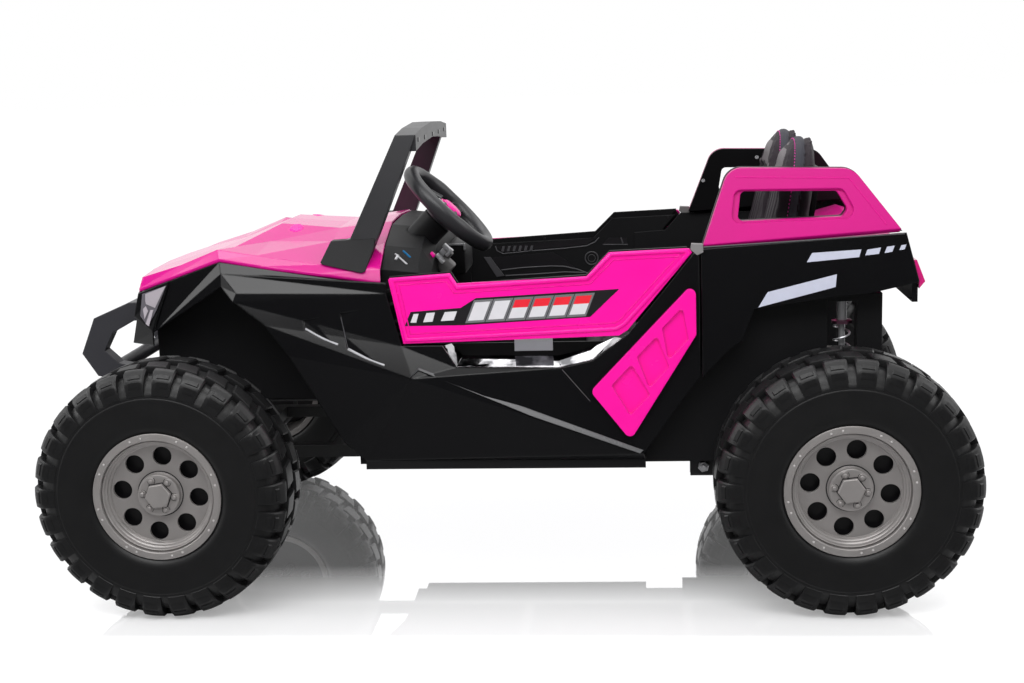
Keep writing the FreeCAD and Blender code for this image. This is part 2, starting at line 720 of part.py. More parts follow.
def fascia_cheek():
    """The left side of the nose between the front face and the side moulding."""
    rows = fascia_rows()
    pod = pod_corners()
    corners = {"top": rows[0][0], "mid": rows[1][0], "foot": rows[2][0], "lamp_top": pod["lamp_top"],
               "lamp_foot": pod["lamp_foot"]}
    corners["chin"] = V(corners["lamp_foot"].x, corners["lamp_foot"].y, corners["foot"].z)
    inward = V(0, -FASCIA_WALL, 0)
    gap = V(PANEL_GAP, 0, 0)
    for name in ("lamp_top", "lamp_foot", "chin"):
        corners[name] = corners[name] + gap
    facets = (("top", "lamp_top", "mid"), ("mid", "lamp_top", "lamp_foot"), ("mid", "lamp_foot", "foot"),
              ("foot", "lamp_foot", "chin"))
    return facet_panel(corners, facets, inward)


def front_fascia():
    """Black nose face with slots in its middle and a cheek at each side under the headlight."""
    face = grid_panel(fascia_rows(), V(-FASCIA_WALL, 0, 0))
    low = fascia_rows()[2][0].z
    for k in range(GRILLE_SLOT_COUNT):
        z = low + GRILLE_SLOT_PITCH * (k + 1)
        slot = block(WHEELBASE / 2, WHEELBASE, -GRILLE_HALF_WIDTH, GRILLE_HALF_WIDTH,
                     z, z + GRILLE_SLOT_HEIGHT)
        face = face.cut(slot)
    cheek = fascia_cheek()
    return face.fuse(cheek).fuse(mirrored(cheek)).removeSplitter()


LENS_WALL = 3.0


def headlight():
    """Clear cover that wraps from the side of the nose round to its front."""
    rows = fascia_rows()
    pod = pod_corners()
    count = len(rows[0])
    middle = count // 2
    inner = middle - 1
    proud = V(FASCIA_WALL, FASCIA_WALL, 0)
    gap = V(PANEL_GAP, 0, 0)
    corners = {
        "rear_top": pod["lamp_top"] + gap + V(0, FASCIA_WALL, 0),
        "rear_foot": pod["lamp_foot"] + gap + V(0, FASCIA_WALL, 0),
        "edge_top": rows[0][0] + proud,
        "edge_mid": rows[1][0] + proud,
        "mid_top": rows[0][1] + proud,
        "mid_foot": rows[1][1] + proud,
        "inner_top": rows[0][inner] + proud,
        "inner_foot": rows[1][inner] + proud,
    }
    facets = (("rear_top", "rear_foot", "edge_mid", "edge_top"),
              ("edge_top", "edge_mid", "mid_foot", "mid_top"),
              ("mid_top", "mid_foot", "inner_foot", "inner_top"))
    offset = V(-LENS_WALL, -LENS_WALL, 0)
    return facet_panel(corners, facets, offset).cut(front_fascia())


BUMPER_PLATE = 26.0
BUMPER_SPACING_share = 0.461
BUMPER_HALF_SPACING = BODY_HALF_WIDTH * BUMPER_SPACING_share
BUMPER_BAR_DIAMETER = 24.0
BUMPER_BITE = 1.0
bumper_outer_shares = (
    (0.545, 0.840), (0.606, 0.838), (0.665, 0.791), (0.6885, 0.682), (0.665, 0.612), (0.5575, 0.567),
)
bumper_inner_shares = (
    (0.5575, 0.622), (0.629, 0.651), (0.651, 0.691), (0.636, 0.745), (0.600, 0.782), (0.545, 0.789),
)
bumper_bar_shares = ((0.658, 0.770), (0.640, 0.628))


def front_bumper():
    """Bull bar: two C-shaped side plates joined by two cross bars."""
    outline = scaled_pairs(bumper_outer_shares) + scaled_pairs(bumper_inner_shares)
    plate = side_prism(outline, BUMPER_HALF_SPACING, BUMPER_HALF_SPACING + BUMPER_PLATE)
    body = plate.fuse(mirrored(plate))
    for x, z in scaled_pairs(bumper_bar_shares):
        reach = BUMPER_HALF_SPACING + BUMPER_BITE
        body = body.fuse(rod(V(x, -reach, z), V(x, reach, z), BUMPER_BAR_DIAMETER))
    rows = fascia_rows()
    gap = V(FASCIA_WALL + LENS_WALL / 2, 0, 0)
    behind = grid_panel([[p + gap for p in row] for row in rows], V(-WHEELBASE / 4, 0, 0))
    return body.cut(behind).removeSplitter()


ARCH_WALL = 5.0
ARCH_SPACING_share = 0.624
ARCH_HALF_SPACING = BODY_HALF_WIDTH * ARCH_SPACING_share
arch_wall_shares = (
    (0.230, 0.420), (0.300, 0.545), (0.5535, 0.545), (0.5535, 0.880), (0.506, 0.918), (0.434, 0.975),
    (0.373, 0.960), (0.276, 0.940), (0.230, 0.930),
)
ARCH_LIFT = 3.0
liner_names = ("lamp_foot", "arch", "lip_high", "lip_mid", "lip_low", "lip_foot")


def front_arch():
    """Inner wall of the left front wheel arch, with the liner that closes it out to the side moulding."""
    wall = side_prism(scaled_pairs(arch_wall_shares), ARCH_HALF_SPACING, ARCH_HALF_SPACING - ARCH_WALL)
    corners = pod_corners()
    inner = []
    outer = []
    for name in liner_names:
        p = corners[name]
        inner.append(V(p.x, ARCH_HALF_SPACING, p.z + ARCH_LIFT))
        outer.append(V(p.x, p.y - PANEL_WALL - SEAT_GAP, p.z + ARCH_LIFT))
    liner = grid_panel([inner, outer], V(0, 0, ARCH_WALL))
    return wall.fuse(liner).cut(side_pod()).removeSplitter()


FRONT_BEAM_DEPTH = 16.0
front_beam_z_shares = (0.567, 0.622)


def front_cross_member():
    """Steel bar behind the nose that joins both arch walls and carries the bumper."""
    z0, z1 = [share * BODY_HEIGHT for share in front_beam_z_shares]
    x1 = bumper_outer_shares[-1][0] * WHEELBASE - SEAT_GAP
    half = ARCH_HALF_SPACING - ARCH_WALL - SEAT_GAP
    return block(x1 - FRONT_BEAM_DEPTH, x1, -half, half, z0, z1)


WINDSHIELD_BAR = 26.0
WINDSHIELD_LEAN = 42.0
WINDSHIELD_BASE_share = 0.7576
WINDSHIELD_BASE = BODY_HALF_WIDTH * WINDSHIELD_BASE_share
WINDSHIELD_ARCH = 12.0
windshield_shares = (
    (0.162, 1.325), (0.233, 1.031), (0.264, 1.018), (0.275, 0.965), (0.214, 0.930), (0.188, 1.045),
    (0.130, 1.324),
)
windshield_bar_shares = (-1.0, -0.6, 0.0, 0.6, 1.0)


def windshield_frame():
    """Black hoop: two leaning pillars with flared feet and a bowed top bar, seated on the bonnet."""
    low = min(z for _, z in windshield_shares) * BODY_HEIGHT
    high = max(z for _, z in windshield_shares) * BODY_HEIGHT
    points = []
    for x, z in scaled_pairs(windshield_shares):
        points.append(V(x, WINDSHIELD_BASE - WINDSHIELD_LEAN * (z - low) / (high - low), z))
    pillar = extruded(points, V(0, -WINDSHIELD_BAR, 0))
    top_y = WINDSHIELD_BASE - WINDSHIELD_LEAN
    front_x = windshield_shares[0][0] * WHEELBASE
    rear_x = windshield_shares[-1][0] * WHEELBASE
    rows = []
    for share in windshield_bar_shares:
        z = high + WINDSHIELD_ARCH * (1 - share * share)
        rows.append([V(front_x, share * top_y, z), V(rear_x, share * top_y, z)])
    bar = grid_panel(rows, V(0, 0, -WINDSHIELD_BAR))
    hoop = pillar.fuse(mirrored(pillar)).fuse(bar)
    seat = under_hood(3 * WINDSHIELD_BAR)
    return hoop.cut(seat).removeSplitter()


# Cabin

tub_wall_shares = (
    (-0.482, TUB_KNEE_share), (-0.400, TUB_FLOOR_share), (0.225, TUB_FLOOR_share), (0.225, 0.7325),
    (-0.200, 0.7325), (-0.200, 0.925), (-0.256, 0.932), (-0.284, 0.990), (-0.482, 0.990),
)


def floor_tub():
    """Open cabin tub: floor, side walls stepped up behind the door, bulkheads at both ends."""
    outline = scaled_pairs(tub_wall_shares)
    body = side_prism(outline, -TUB_HALF_WIDTH, TUB_HALF_WIDTH)
    rear_x, knee_z = outline[0]
    slope_x, floor_z = outline[1]
    front_x = outline[2][0]
    top = 2 * BODY_HEIGHT
    hollow = [(rear_x + TUB_WALL, knee_z + TUB_WALL / 2), (slope_x + TUB_WALL / 2, floor_z + TUB_WALL),
              (front_x - TUB_WALL, floor_z + TUB_WALL), (front_x - TUB_WALL, top), (rear_x + TUB_WALL, top)]
    return body.cut(side_prism(hollow, -TUB_HALF_WIDTH + TUB_WALL, TUB_HALF_WIDTH - TUB_WALL))


liner_rear_shares = (
    (-0.297, 0.638), (-0.337, 0.716), (-0.357, 0.742), (-0.373, 0.827), (-0.501, 0.860), (-0.537, 0.865),
)


def rear_arch():
    """Liner that closes the rear wheel arch between the tub's wall and the side panel."""
    inner = []
    outer = []
    for x, z in liner_rear_shares:
        lift = V(0, 0, ARCH_LIFT)
        inner.append(V(x * WHEELBASE, TUB_HALF_WIDTH + SEAT_GAP, z * BODY_HEIGHT) + lift)
        outer.append(on_side(x, z, -PANEL_WALL - SEAT_GAP) + lift)
    return grid_panel([inner, outer], V(0, 0, ARCH_WALL)).cut(rear_side_panel())


dash_row_shares = (0.0, 0.36, 0.62, 0.78)
dash_top_shares = (1.056, 1.049, 1.003, 0.945)
DASH_FRONT_share = 0.1845
DASH_BROW_share = 0.128
DASH_FACE_share = 0.112
DASH_BROW_DROP_share = 0.012
DASH_FACE_DROP_share = 0.060
DASH_DEPTH = 42.0


def dashboard():
    """Moulded dash: a brow under the bonnet's rear edge and an instrument face that leans to the seats."""
    rows = []
    for y_share, z_share in zip(dash_row_shares, dash_top_shares):
        rows.append([at(DASH_FRONT_share, y_share, z_share),
                     at(DASH_BROW_share, y_share, z_share - DASH_BROW_DROP_share),
                     at(DASH_FACE_share, y_share, z_share - DASH_FACE_DROP_share)])
    mirrored_rows = [[V(p.x, -p.y, p.z) for p in row] for row in rows[1:]]
    rows = list(reversed(mirrored_rows)) + rows
    brow = grid_panel(rows, V(0, 0, -DASH_DEPTH))
    centre, face = steer_frame()[:2]
    seat = rod(centre - face * COLUMN_LENGTH * 2, centre, COLUMN_DIAMETER + 2 * SEAT_GAP)
    return brow.cut(hood()).cut(seat).removeSplitter()


STEER_CENTRE_shares = (0.092, 1.096)
STEER_TILT = 45.0
COLUMN_DIAMETER = 52.0
COLUMN_GAP = 2.0
HUB_DIAMETER = 58.0
HUB_DEPTH = 26.0
SHAFT_DIAMETER = 14.0
SHAFT_LENGTH = 34.0
COLUMN_LENGTH = 92.0
SPOKE_WIDTH = 22.0
SPOKE_DEPTH = 12.0
SPOKE_COUNT = 3
BADGE_LENGTH = 40.0
BADGE_WIDTH = 20.0
BADGE_DEPTH = 3.0


def steer_frame():
    """Centre of the steering wheel, the direction to the driver, up the wheel's face, and across it."""
    centre = V(STEER_CENTRE_shares[0] * WHEELBASE, DRIVER_OFFSET, STEER_CENTRE_shares[1] * BODY_HEIGHT)
    tilt = math.radians(STEER_TILT)
    to_driver = V(-math.cos(tilt), 0, math.sin(tilt))
    up = V(math.sin(tilt), 0, math.cos(tilt))
    return centre, to_driver, up, V(0, 1, 0)


def steering_wheel():
    """Round grip, three spokes and a hub with a short shaft that turns in the column."""
    centre, face, up, across = steer_frame()
    reach = (WHEEL_RIM_DIAMETER - WHEEL_GRIP_DIAMETER) / 2
    grip = Part.makeTorus(reach, WHEEL_GRIP_DIAMETER / 2, centre, face)
    body = rod(centre - face * HUB_DEPTH, centre, HUB_DIAMETER)
    for k in range(SPOKE_COUNT):
        turn = math.radians(FULL_TURN * k / SPOKE_COUNT + FULL_TURN / 2)
        out = up * math.cos(turn) + across * math.sin(turn)
        side = face.cross(out)
        foot = centre - face * SPOKE_DEPTH - side * SPOKE_WIDTH / 2
        spoke = extruded([foot, foot + side * SPOKE_WIDTH, foot + side * SPOKE_WIDTH + out * reach,
                          foot + out * reach], face * SPOKE_DEPTH)
        body = body.fuse(spoke)
    body = body.fuse(grip)
    shaft = rod(centre - face * (HUB_DEPTH + SHAFT_LENGTH), centre - face * HUB_DEPTH / 2, SHAFT_DIAMETER)
    return body.fuse(shaft).removeSplitter()


def wheel_badge():
    """Pink oval cap on the hub, left plain."""
    centre, face, up, across = steer_frame()
    disc = rod(centre + face * SEAT_GAP / 3, centre + face * (SEAT_GAP / 3 + BADGE_DEPTH), BADGE_LENGTH)
    half = BADGE_WIDTH / 2
    foot = centre - up * BADGE_LENGTH - across * half
    keep = extruded([foot, foot + across * BADGE_WIDTH, foot + across * BADGE_WIDTH + up * 2 * BADGE_LENGTH,
                     foot + up * 2 * BADGE_LENGTH], face * 2 * BADGE_DEPTH)
    return disc.common(keep)


def steering_column():
    """Fixed round shroud from the dash up to the steering wheel, bored for the shaft."""
    centre, face = steer_frame()[:2]
    top = centre - face * (HUB_DEPTH + COLUMN_GAP)
    shroud = rod(top - face * COLUMN_LENGTH, top, COLUMN_DIAMETER)
    bore = rod(top - face * (SHAFT_LENGTH + 2 * COLUMN_GAP), top + face * COLUMN_GAP,
               SHAFT_DIAMETER + 2 * AXLE_FIT)
    return shroud.cut(bore)


SEAT_BASE_TOP_share = 0.585
SEAT_FRONT_share = -0.112
SEAT_BACK_FOOT_share = -0.372
SEAT_BACK_TOP_share = -0.424
SEAT_TOP_share = 1.292
CUSHION_DEPTH = 48.0
BACK_DEPTH = 56.0
SEAT_SHOULDER_share = 0.86
HEAD_CURVE_share = 0.26
HEAD_BULGE_share = 0.86
SEAT_SHELL_WALL = 8.0


def seat_base():
    """Black seat moulding: a hollow bench box with a leaning back panel behind each seat."""
    x0 = SEAT_BACK_FOOT_share * WHEELBASE
    x1 = SEAT_FRONT_share * WHEELBASE
    floor = tub_wall_shares[1][1] * BODY_HEIGHT + TUB_WALL + SEAT_GAP
    top = SEAT_BASE_TOP_share * BODY_HEIGHT
    half = SEAT_PITCH / 2 + SEAT_WIDTH / 2
    rear = tub_wall_shares[1][0] * WHEELBASE + TUB_WALL + SEAT_SHELL_WALL
    body = block(rear, x1, -half, half, floor, top)
    cavity = block(rear + SEAT_SHELL_WALL, x1 - SEAT_SHELL_WALL, -half + SEAT_SHELL_WALL,
                   half - SEAT_SHELL_WALL, floor - OVERRUN, top - SEAT_SHELL_WALL)
    body = body.cut(cavity).fuse(block(x0 - BACK_DEPTH, x1, -half, half, top - SEAT_SHELL_WALL, top))
    for side in (-1, 1):
        y = side * SEAT_PITCH / 2
        back_top = SEAT_TOP_share * BODY_HEIGHT - SEAT_WIDTH / 4
        lean = (SEAT_BACK_TOP_share - SEAT_BACK_FOOT_share) * WHEELBASE
        foot_x = x0 - BACK_DEPTH
        foot_z = top - SEAT_SHELL_WALL
        panel = extruded([V(foot_x, y - SEAT_WIDTH / 3, foot_z), V(foot_x, y + SEAT_WIDTH / 3, foot_z),
                          V(foot_x + lean, y + SEAT_WIDTH / 4, back_top),
                          V(foot_x + lean, y - SEAT_WIDTH / 4, back_top)], V(-SEAT_SHELL_WALL, 0, 0))
        foot = block(foot_x - SEAT_SHELL_WALL, foot_x + SEAT_SHELL_WALL,
                     y - SEAT_WIDTH / 3, y + SEAT_WIDTH / 3, top - 2 * SEAT_SHELL_WALL, top)
        body = body.fuse(panel).fuse(foot)
    return body.removeSplitter()


def seat_cushion(side):
    """Leatherette cushion on the bench."""
    y = side * SEAT_PITCH / 2
    x0 = SEAT_BACK_FOOT_share * WHEELBASE + SEAT_GAP
    x1 = SEAT_FRONT_share * WHEELBASE
    z0 = SEAT_BASE_TOP_share * BODY_HEIGHT + SEAT_GAP
    pad = block(x0, x1, y - SEAT_WIDTH / 2, y + SEAT_WIDTH / 2, z0, z0 + CUSHION_DEPTH)
    edges = [e for e in pad.Edges if abs(e.Vertexes[0].Z - e.Vertexes[-1].Z) > CUSHION_DEPTH / 2]
    return pad.makeFillet(CUSHION_DEPTH / 3, edges)


def seat_back(side):
    """Leatherette seat back with a rounded head, leaning back against its panel."""
    y = side * SEAT_PITCH / 2
    foot = SEAT_BASE_TOP_share * BODY_HEIGHT + SEAT_GAP
    head = SEAT_TOP_share * BODY_HEIGHT
    lean = (SEAT_BACK_TOP_share - SEAT_BACK_FOOT_share) * WHEELBASE
    x0 = SEAT_BACK_FOOT_share * WHEELBASE - BACK_DEPTH + SEAT_GAP
    half = SEAT_WIDTH / 2
    shoulder = head - half
    slope = lean / (head - foot)
    low_left = V(x0, y - half, foot)
    low_right = V(x0, y + half, foot)
    right = V(x0 + slope * (shoulder - foot), y + half * SEAT_SHOULDER_share, shoulder)
    left = V(x0 + slope * (shoulder - foot), y - half * SEAT_SHOULDER_share, shoulder)
    crown = V(x0 + lean, y, head)
    edges = [Part.LineSegment(low_left, low_right).toShape(), Part.LineSegment(low_right, right).toShape(),
             Part.Arc(right, crown, left).toShape(), Part.LineSegment(left, low_left).toShape()]
    depth = BACK_DEPTH - 2 * SEAT_GAP
    body = Part.Face(Part.Wire(edges)).extrude(V(depth, 0, 0))
    rise = HEAD_CURVE_share * (head - foot)
    brow = V(x0 + slope * (head - rise - foot) + depth, y, head - rise)
    peak = V(x0 + lean + depth / 2, y, head)
    bulge = V(x0 + lean + depth * HEAD_BULGE_share, y, head - rise / 4)
    rest = Part.makePolygon([peak, V(x0 + lean, y, head), V(x0, y, foot), V(x0 + depth, y, foot), brow])
    profile = Part.Face(Part.Wire(rest.Edges + [Part.Arc(brow, bulge, peak).toShape()]))
    profile.translate(V(0, -SEAT_WIDTH / 2, 0))
    return body.common(profile.extrude(V(0, SEAT_WIDTH, 0))).removeSplitter()


BATTERY_LENGTH = 150.0
BATTERY_WIDTH = 200.0
BATTERY_HEIGHT = 95.0


def battery():
    """Sealed battery pack under the bench, one plain block."""
    floor = tub_wall_shares[1][1] * BODY_HEIGHT + TUB_WALL + SEAT_GAP
    middle = (SEAT_BACK_FOOT_share + SEAT_FRONT_share) / 2 * WHEELBASE
    room = SEAT_BASE_TOP_share * BODY_HEIGHT - floor - 2 * SEAT_SHELL_WALL
    return block(middle - BATTERY_LENGTH / 2, middle + BATTERY_LENGTH / 2,
                 -BATTERY_WIDTH / 2, BATTERY_WIDTH / 2, floor, floor + min(BATTERY_HEIGHT, room))


# Rear body

DECK_WALL = 5.0
deck_profile_shares = ((-0.493, 0.975), (-0.560, 1.010), (-0.600, 0.985))


def rear_deck():
    """Pink deck behind the seats, from the tub's rear wall to the tail."""
    half = side_y(deck_profile_shares[1][0], 1.0) - PANEL_WALL - ROLL_BACKING - ROLL_SKIN
    rows = []
    for x, z in deck_profile_shares:
        rows.append([at(x, 0, z) + V(0, -half, 0), at(x, 0, z) + V(0, half, 0)])
    return grid_panel(rows, V(0, 0, -DECK_WALL))


TAIL_HEAD_share = 0.05
TAIL_SKIRT_share = 0.06
TAIL_WALL_share = 0.008


def tail_panel():
    """Black panel across the tail between the side panels."""
    top_x, top_z = rear_panel_shares[1]
    low_x, low_z = rear_panel_shares[2]
    head_z = top_z - TAIL_HEAD_share
    foot_z = low_z - TAIL_SKIRT_share
    outline = [(top_x, head_z), (low_x, low_z), (low_x, foot_z), (low_x + TAIL_WALL_share, foot_z),
               (low_x + TAIL_WALL_share, low_z), (top_x + TAIL_WALL_share, head_z)]
    half = side_y(top_x, top_z) - PANEL_WALL - SEAT_GAP
    return side_prism(scaled_pairs(outline), -half, half)


LAMP_HEIGHT = 66.0
LAMP_WIDTH = 90.0
LAMP_DEPTH = 9.0


def tail_lamp():
    """Red lens at the left end of the tail."""
    low_x, low_z = rear_panel_shares[2]
    top_x, top_z = rear_panel_shares[1]
    x0 = low_x * WHEELBASE - SEAT_GAP
    z0 = low_z * BODY_HEIGHT
    y1 = side_y(low_x, low_z) - PANEL_WALL
    y0 = y1 - LAMP_WIDTH
    rise = LAMP_HEIGHT / 2
    slope = (top_x - low_x) * WHEELBASE / ((top_z - low_z) * BODY_HEIGHT)
    outline = [(x0, z0 - rise / 3), (x0 - LAMP_DEPTH, z0), (x0 - LAMP_DEPTH / 2 + slope * rise, z0 + rise),
               (x0 + slope * rise, z0 + rise), (x0, z0)]
    return side_prism(outline, y0, y1)


# Chassis

RAIL_END_share = 0.4571
RAIL_FRONT = WHEELBASE * RAIL_END_share
RAIL_REAR = RAIL_FRONT
CROSS_PLACES_share = (-0.440, -0.285, 0.0, 0.285, 0.440)
TOWER_DEPTH = 38.0
TOWER_WIDTH = 34.0
TOWER_SHELF = 12.0
TOWER_SHELF_share = 0.836
TOWER_PLACE_share = -0.544
PIVOT_PLACE_share = -0.299
PIVOT_INSET = 36.0
PIVOT_HALF_SPACING = TUB_HALF_WIDTH - PIVOT_INSET
PIVOT_DIAMETER = 12.0
PIVOT_HEIGHT = FLOOR_HEIGHT - PIVOT_DIAMETER
BRACKET_WALL = 5.0
BRACKET_LENGTH = 40.0
ARM_WIDTH = 14.0
ARM_HEIGHT = 24.0


def chassis_frame():
    """Welded steel frame: two rails, cross members, rear towers and the pivot brackets."""
    z1 = FLOOR_HEIGHT - SEAT_GAP
    z0 = z1 - RAIL_SIZE
    half = RAIL_SIZE / 2
    rail = block(-RAIL_REAR, RAIL_FRONT, RAIL_HALF_SPACING - half, RAIL_HALF_SPACING + half, z0, z1)
    body = rail.fuse(mirrored(rail))
    for share in CROSS_PLACES_share:
        x = share * WHEELBASE
        body = body.fuse(block(x - half, x + half, -RAIL_HALF_SPACING, RAIL_HALF_SPACING, z0, z1))
    return body.removeSplitter()


def rear_pivot_brackets():
    """Clevis brackets under the tub that hold the rear arms' pivot bolts."""
    x = PIVOT_PLACE_share * WHEELBASE
    z = PIVOT_HEIGHT
    z1 = FLOOR_HEIGHT - SEAT_GAP
    gap = ARM_WIDTH / 2 + SEAT_GAP
    drop = PIVOT_DIAMETER * 1.5
    body = block(x - BRACKET_LENGTH / 2, x + BRACKET_LENGTH / 2, PIVOT_HALF_SPACING - gap - BRACKET_WALL,
                 PIVOT_HALF_SPACING + gap + BRACKET_WALL, z + PIVOT_DIAMETER / 2 + BRACKET_WALL / 2, z1)
    for sign in (-1, 1):
        near = PIVOT_HALF_SPACING + sign * gap
        far = PIVOT_HALF_SPACING + sign * (gap + BRACKET_WALL)
        cheek = block(x - BRACKET_LENGTH / 2, x + BRACKET_LENGTH / 2, min(near, far), max(near, far),
                      z - drop, z1)
        body = body.fuse(cheek)
    pin_reach = gap + 2 * BRACKET_WALL
    pin = rod(V(x, PIVOT_HALF_SPACING - pin_reach, z), V(x, PIVOT_HALF_SPACING + pin_reach, z),
              PIVOT_DIAMETER)
    slot = block(x - BRACKET_LENGTH, x + BRACKET_LENGTH, PIVOT_HALF_SPACING - gap, PIVOT_HALF_SPACING + gap,
                 z - drop - OVERRUN, z1 - BRACKET_WALL)
    body = body.cut(slot).fuse(pin)
    return both_sides(body.removeSplitter())


AXLE_TUBE_DIAMETER = 34.0
MOTOR_INSET = 54.0
MOTOR_LENGTH = 56.0
MOTOR_OUTER = TUB_HALF_WIDTH - MOTOR_INSET
MOTOR_INNER = MOTOR_OUTER - MOTOR_LENGTH


def rear_swing_arm():
    """Rear axle carrier: a tube round the driving axle, with an arm forward to each pivot bolt."""
    start = V(REAR_X, -TUB_HALF_WIDTH, AXLE_HEIGHT)
    end = V(REAR_X, TUB_HALF_WIDTH, AXLE_HEIGHT)
    carrier = rod(start, end, AXLE_TUBE_DIAMETER)
    pivot_x = PIVOT_PLACE_share * WHEELBASE
    pivot_z = PIVOT_HEIGHT
    z1 = FLOOR_HEIGHT - SEAT_GAP - BRACKET_WALL - SEAT_GAP
    arm_outline = [(REAR_X, AXLE_HEIGHT - ARM_HEIGHT / 2), (pivot_x, pivot_z - ARM_HEIGHT / 2),
                   (pivot_x + PIVOT_DIAMETER, pivot_z), (pivot_x, z1), (REAR_X, z1 + ARM_HEIGHT / 4)]
    arm = side_prism(arm_outline, PIVOT_HALF_SPACING - ARM_WIDTH / 2, PIVOT_HALF_SPACING + ARM_WIDTH / 2)
    carrier = carrier.fuse(arm).fuse(mirrored(arm))
    past = V(0, OVERRUN, 0)
    carrier = carrier.cut(rod(start - past, end + past, AXLE_DIAMETER + 2 * AXLE_FIT))
    for side in (-1, 1):
        mid = side * PIVOT_HALF_SPACING
        carrier = carrier.cut(rod(V(pivot_x, mid - ARM_WIDTH, pivot_z), V(pivot_x, mid + ARM_WIDTH, pivot_z),
                                  PIVOT_DIAMETER + 2 * SEAT_GAP))
    return carrier.removeSplitter()


def rear_axle():
    """Driving axle, fixed in the carrier, that the rear wheels turn on."""
    return rod(V(REAR_X, -AXLE_END, AXLE_HEIGHT), V(REAR_X, AXLE_END, AXLE_HEIGHT), AXLE_DIAMETER)


MOTOR_CAN_LENGTH = 70.0
MOTOR_CAN_DIAMETER = 42.0


def gear_motor():
    """Gearbox drum round the axle tube with its motor can, one closed drive unit."""
    drum = rod(V(REAR_X, MOTOR_INNER, AXLE_HEIGHT), V(REAR_X, MOTOR_OUTER, AXLE_HEIGHT), MOTOR_DIAMETER)
    can_x = REAR_X + MOTOR_DIAMETER / 2 - MOTOR_CAN_DIAMETER / 2
    can = rod(V(can_x, MOTOR_INNER - MOTOR_CAN_LENGTH, AXLE_HEIGHT + MOTOR_CAN_DIAMETER),
              V(can_x, MOTOR_INNER + SEAT_GAP, AXLE_HEIGHT + MOTOR_CAN_DIAMETER), MOTOR_CAN_DIAMETER)
    bore = rod(V(REAR_X, 0, AXLE_HEIGHT), V(REAR_X, TRACK, AXLE_HEIGHT), AXLE_TUBE_DIAMETER + 2 * SEAT_GAP)
    return drum.fuse(can).cut(bore).removeSplitter()


SHOCK_DIAMETER = 16.0
SPRING_DIAMETER = 36.0
SPRING_WIRE = 5.0
SPRING_TURNS = 7
SPRING_SPAN_share = 0.70
SPRING_START_share = 0.15
REAR_SHOCK_shares = (-0.506, 0.806)


def shock(foot, head):
    """Coil-over shock: damper rod with two spring cups and the spring's outer form as rings."""
    axis = head - foot
    unit = V(axis.x / axis.Length, axis.y / axis.Length, axis.z / axis.Length)
    body = rod(foot, head, SHOCK_DIAMETER)
    pitch = axis.Length * SPRING_SPAN_share / SPRING_TURNS
    start = foot + axis * SPRING_START_share
    for k in range(SPRING_TURNS):
        low = start + unit * (pitch * k)
        body = body.fuse(rod(low, low + unit * SPRING_WIRE, SPRING_DIAMETER))
    return body.removeSplitter()


def rear_tower():
    """Black moulded tower behind the rear wheel wall that takes the top of the shock."""
    x = TOWER_PLACE_share * WHEELBASE
    shelf_z = TOWER_SHELF_share * BODY_HEIGHT
    post = block(x - TOWER_DEPTH / 2, x + TOWER_DEPTH / 2, TUB_HALF_WIDTH - TOWER_WIDTH, TUB_HALF_WIDTH,
                 AXLE_HEIGHT + MOTOR_DIAMETER, shelf_z + TOWER_SHELF)
    shelf = block(x - TOWER_DEPTH / 2, tub_wall_shares[0][0] * WHEELBASE - SEAT_GAP,
                  TUB_HALF_WIDTH - TOWER_WIDTH, TUB_HALF_WIDTH, shelf_z, shelf_z + TOWER_SHELF)
    return post.fuse(shelf).removeSplitter()


# Front axle and steering

FRONT_TUBE_DIAMETER = 30.0
FRONT_SHOCK_INSET = 30.0
FRONT_SHOCK_HALF_SPACING = ARCH_HALF_SPACING - FRONT_SHOCK_INSET


def front_axle_beam():
    """Steel cross tube with a yoke and kingpin at each end, and two links back to the rails."""
    web_y = KINGPIN_HALF_TRACK - KNUCKLE_DIAMETER / 2 - YOKE_PLATE - PANEL_GAP
    body = rod(V(FRONT_X, -web_y, AXLE_HEIGHT), V(FRONT_X, web_y, AXLE_HEIGHT), FRONT_TUBE_DIAMETER)
    half = KNUCKLE_HEIGHT / 2 + SEAT_GAP
    bar = FRONT_TUBE_DIAMETER / 2
    rail_top = FLOOR_HEIGHT - SEAT_GAP
    for side in (-1, 1):
        pin_y = side * KINGPIN_HALF_TRACK
        web_near = side * web_y
        web_far = side * (web_y + YOKE_PLATE)
        web = block(FRONT_X - bar, FRONT_X + bar, min(web_near, web_far), max(web_near, web_far),
                    AXLE_HEIGHT - half - YOKE_PLATE, AXLE_HEIGHT + half + YOKE_PLATE)
        body = body.fuse(web)
        for level in (AXLE_HEIGHT + half, AXLE_HEIGHT - half - YOKE_PLATE):
            plate = rod(V(FRONT_X, pin_y, level), V(FRONT_X, pin_y, level + YOKE_PLATE), KNUCKLE_DIAMETER)
            neck = block(FRONT_X - bar, FRONT_X + bar, min(web_near, pin_y), max(web_near, pin_y),
                         level, level + YOKE_PLATE)
            body = body.fuse(plate).fuse(neck)
        pin = rod(V(FRONT_X, pin_y, AXLE_HEIGHT - half - YOKE_PLATE),
                  V(FRONT_X, pin_y, AXLE_HEIGHT + half + YOKE_PLATE), KINGPIN_DIAMETER)
        link_y = side * RAIL_HALF_SPACING
        link = block(RAIL_FRONT + SEAT_GAP, FRONT_X, link_y - RAIL_SIZE / 2, link_y + RAIL_SIZE / 2,
                     rail_top - RAIL_SIZE, rail_top)
        body = body.fuse(pin).fuse(link)
    return body.removeSplitter()


ARM_THICKNESS = 8.0
ARM_PIN_DIAMETER = 8.0
ROD_EYE_DIAMETER = 18.0
ROD_EYE_HEIGHT = 12.0


def steer_arm_end(side):
    return V(FRONT_X - STEER_ARM_LENGTH, side * KINGPIN_HALF_TRACK, AXLE_HEIGHT)


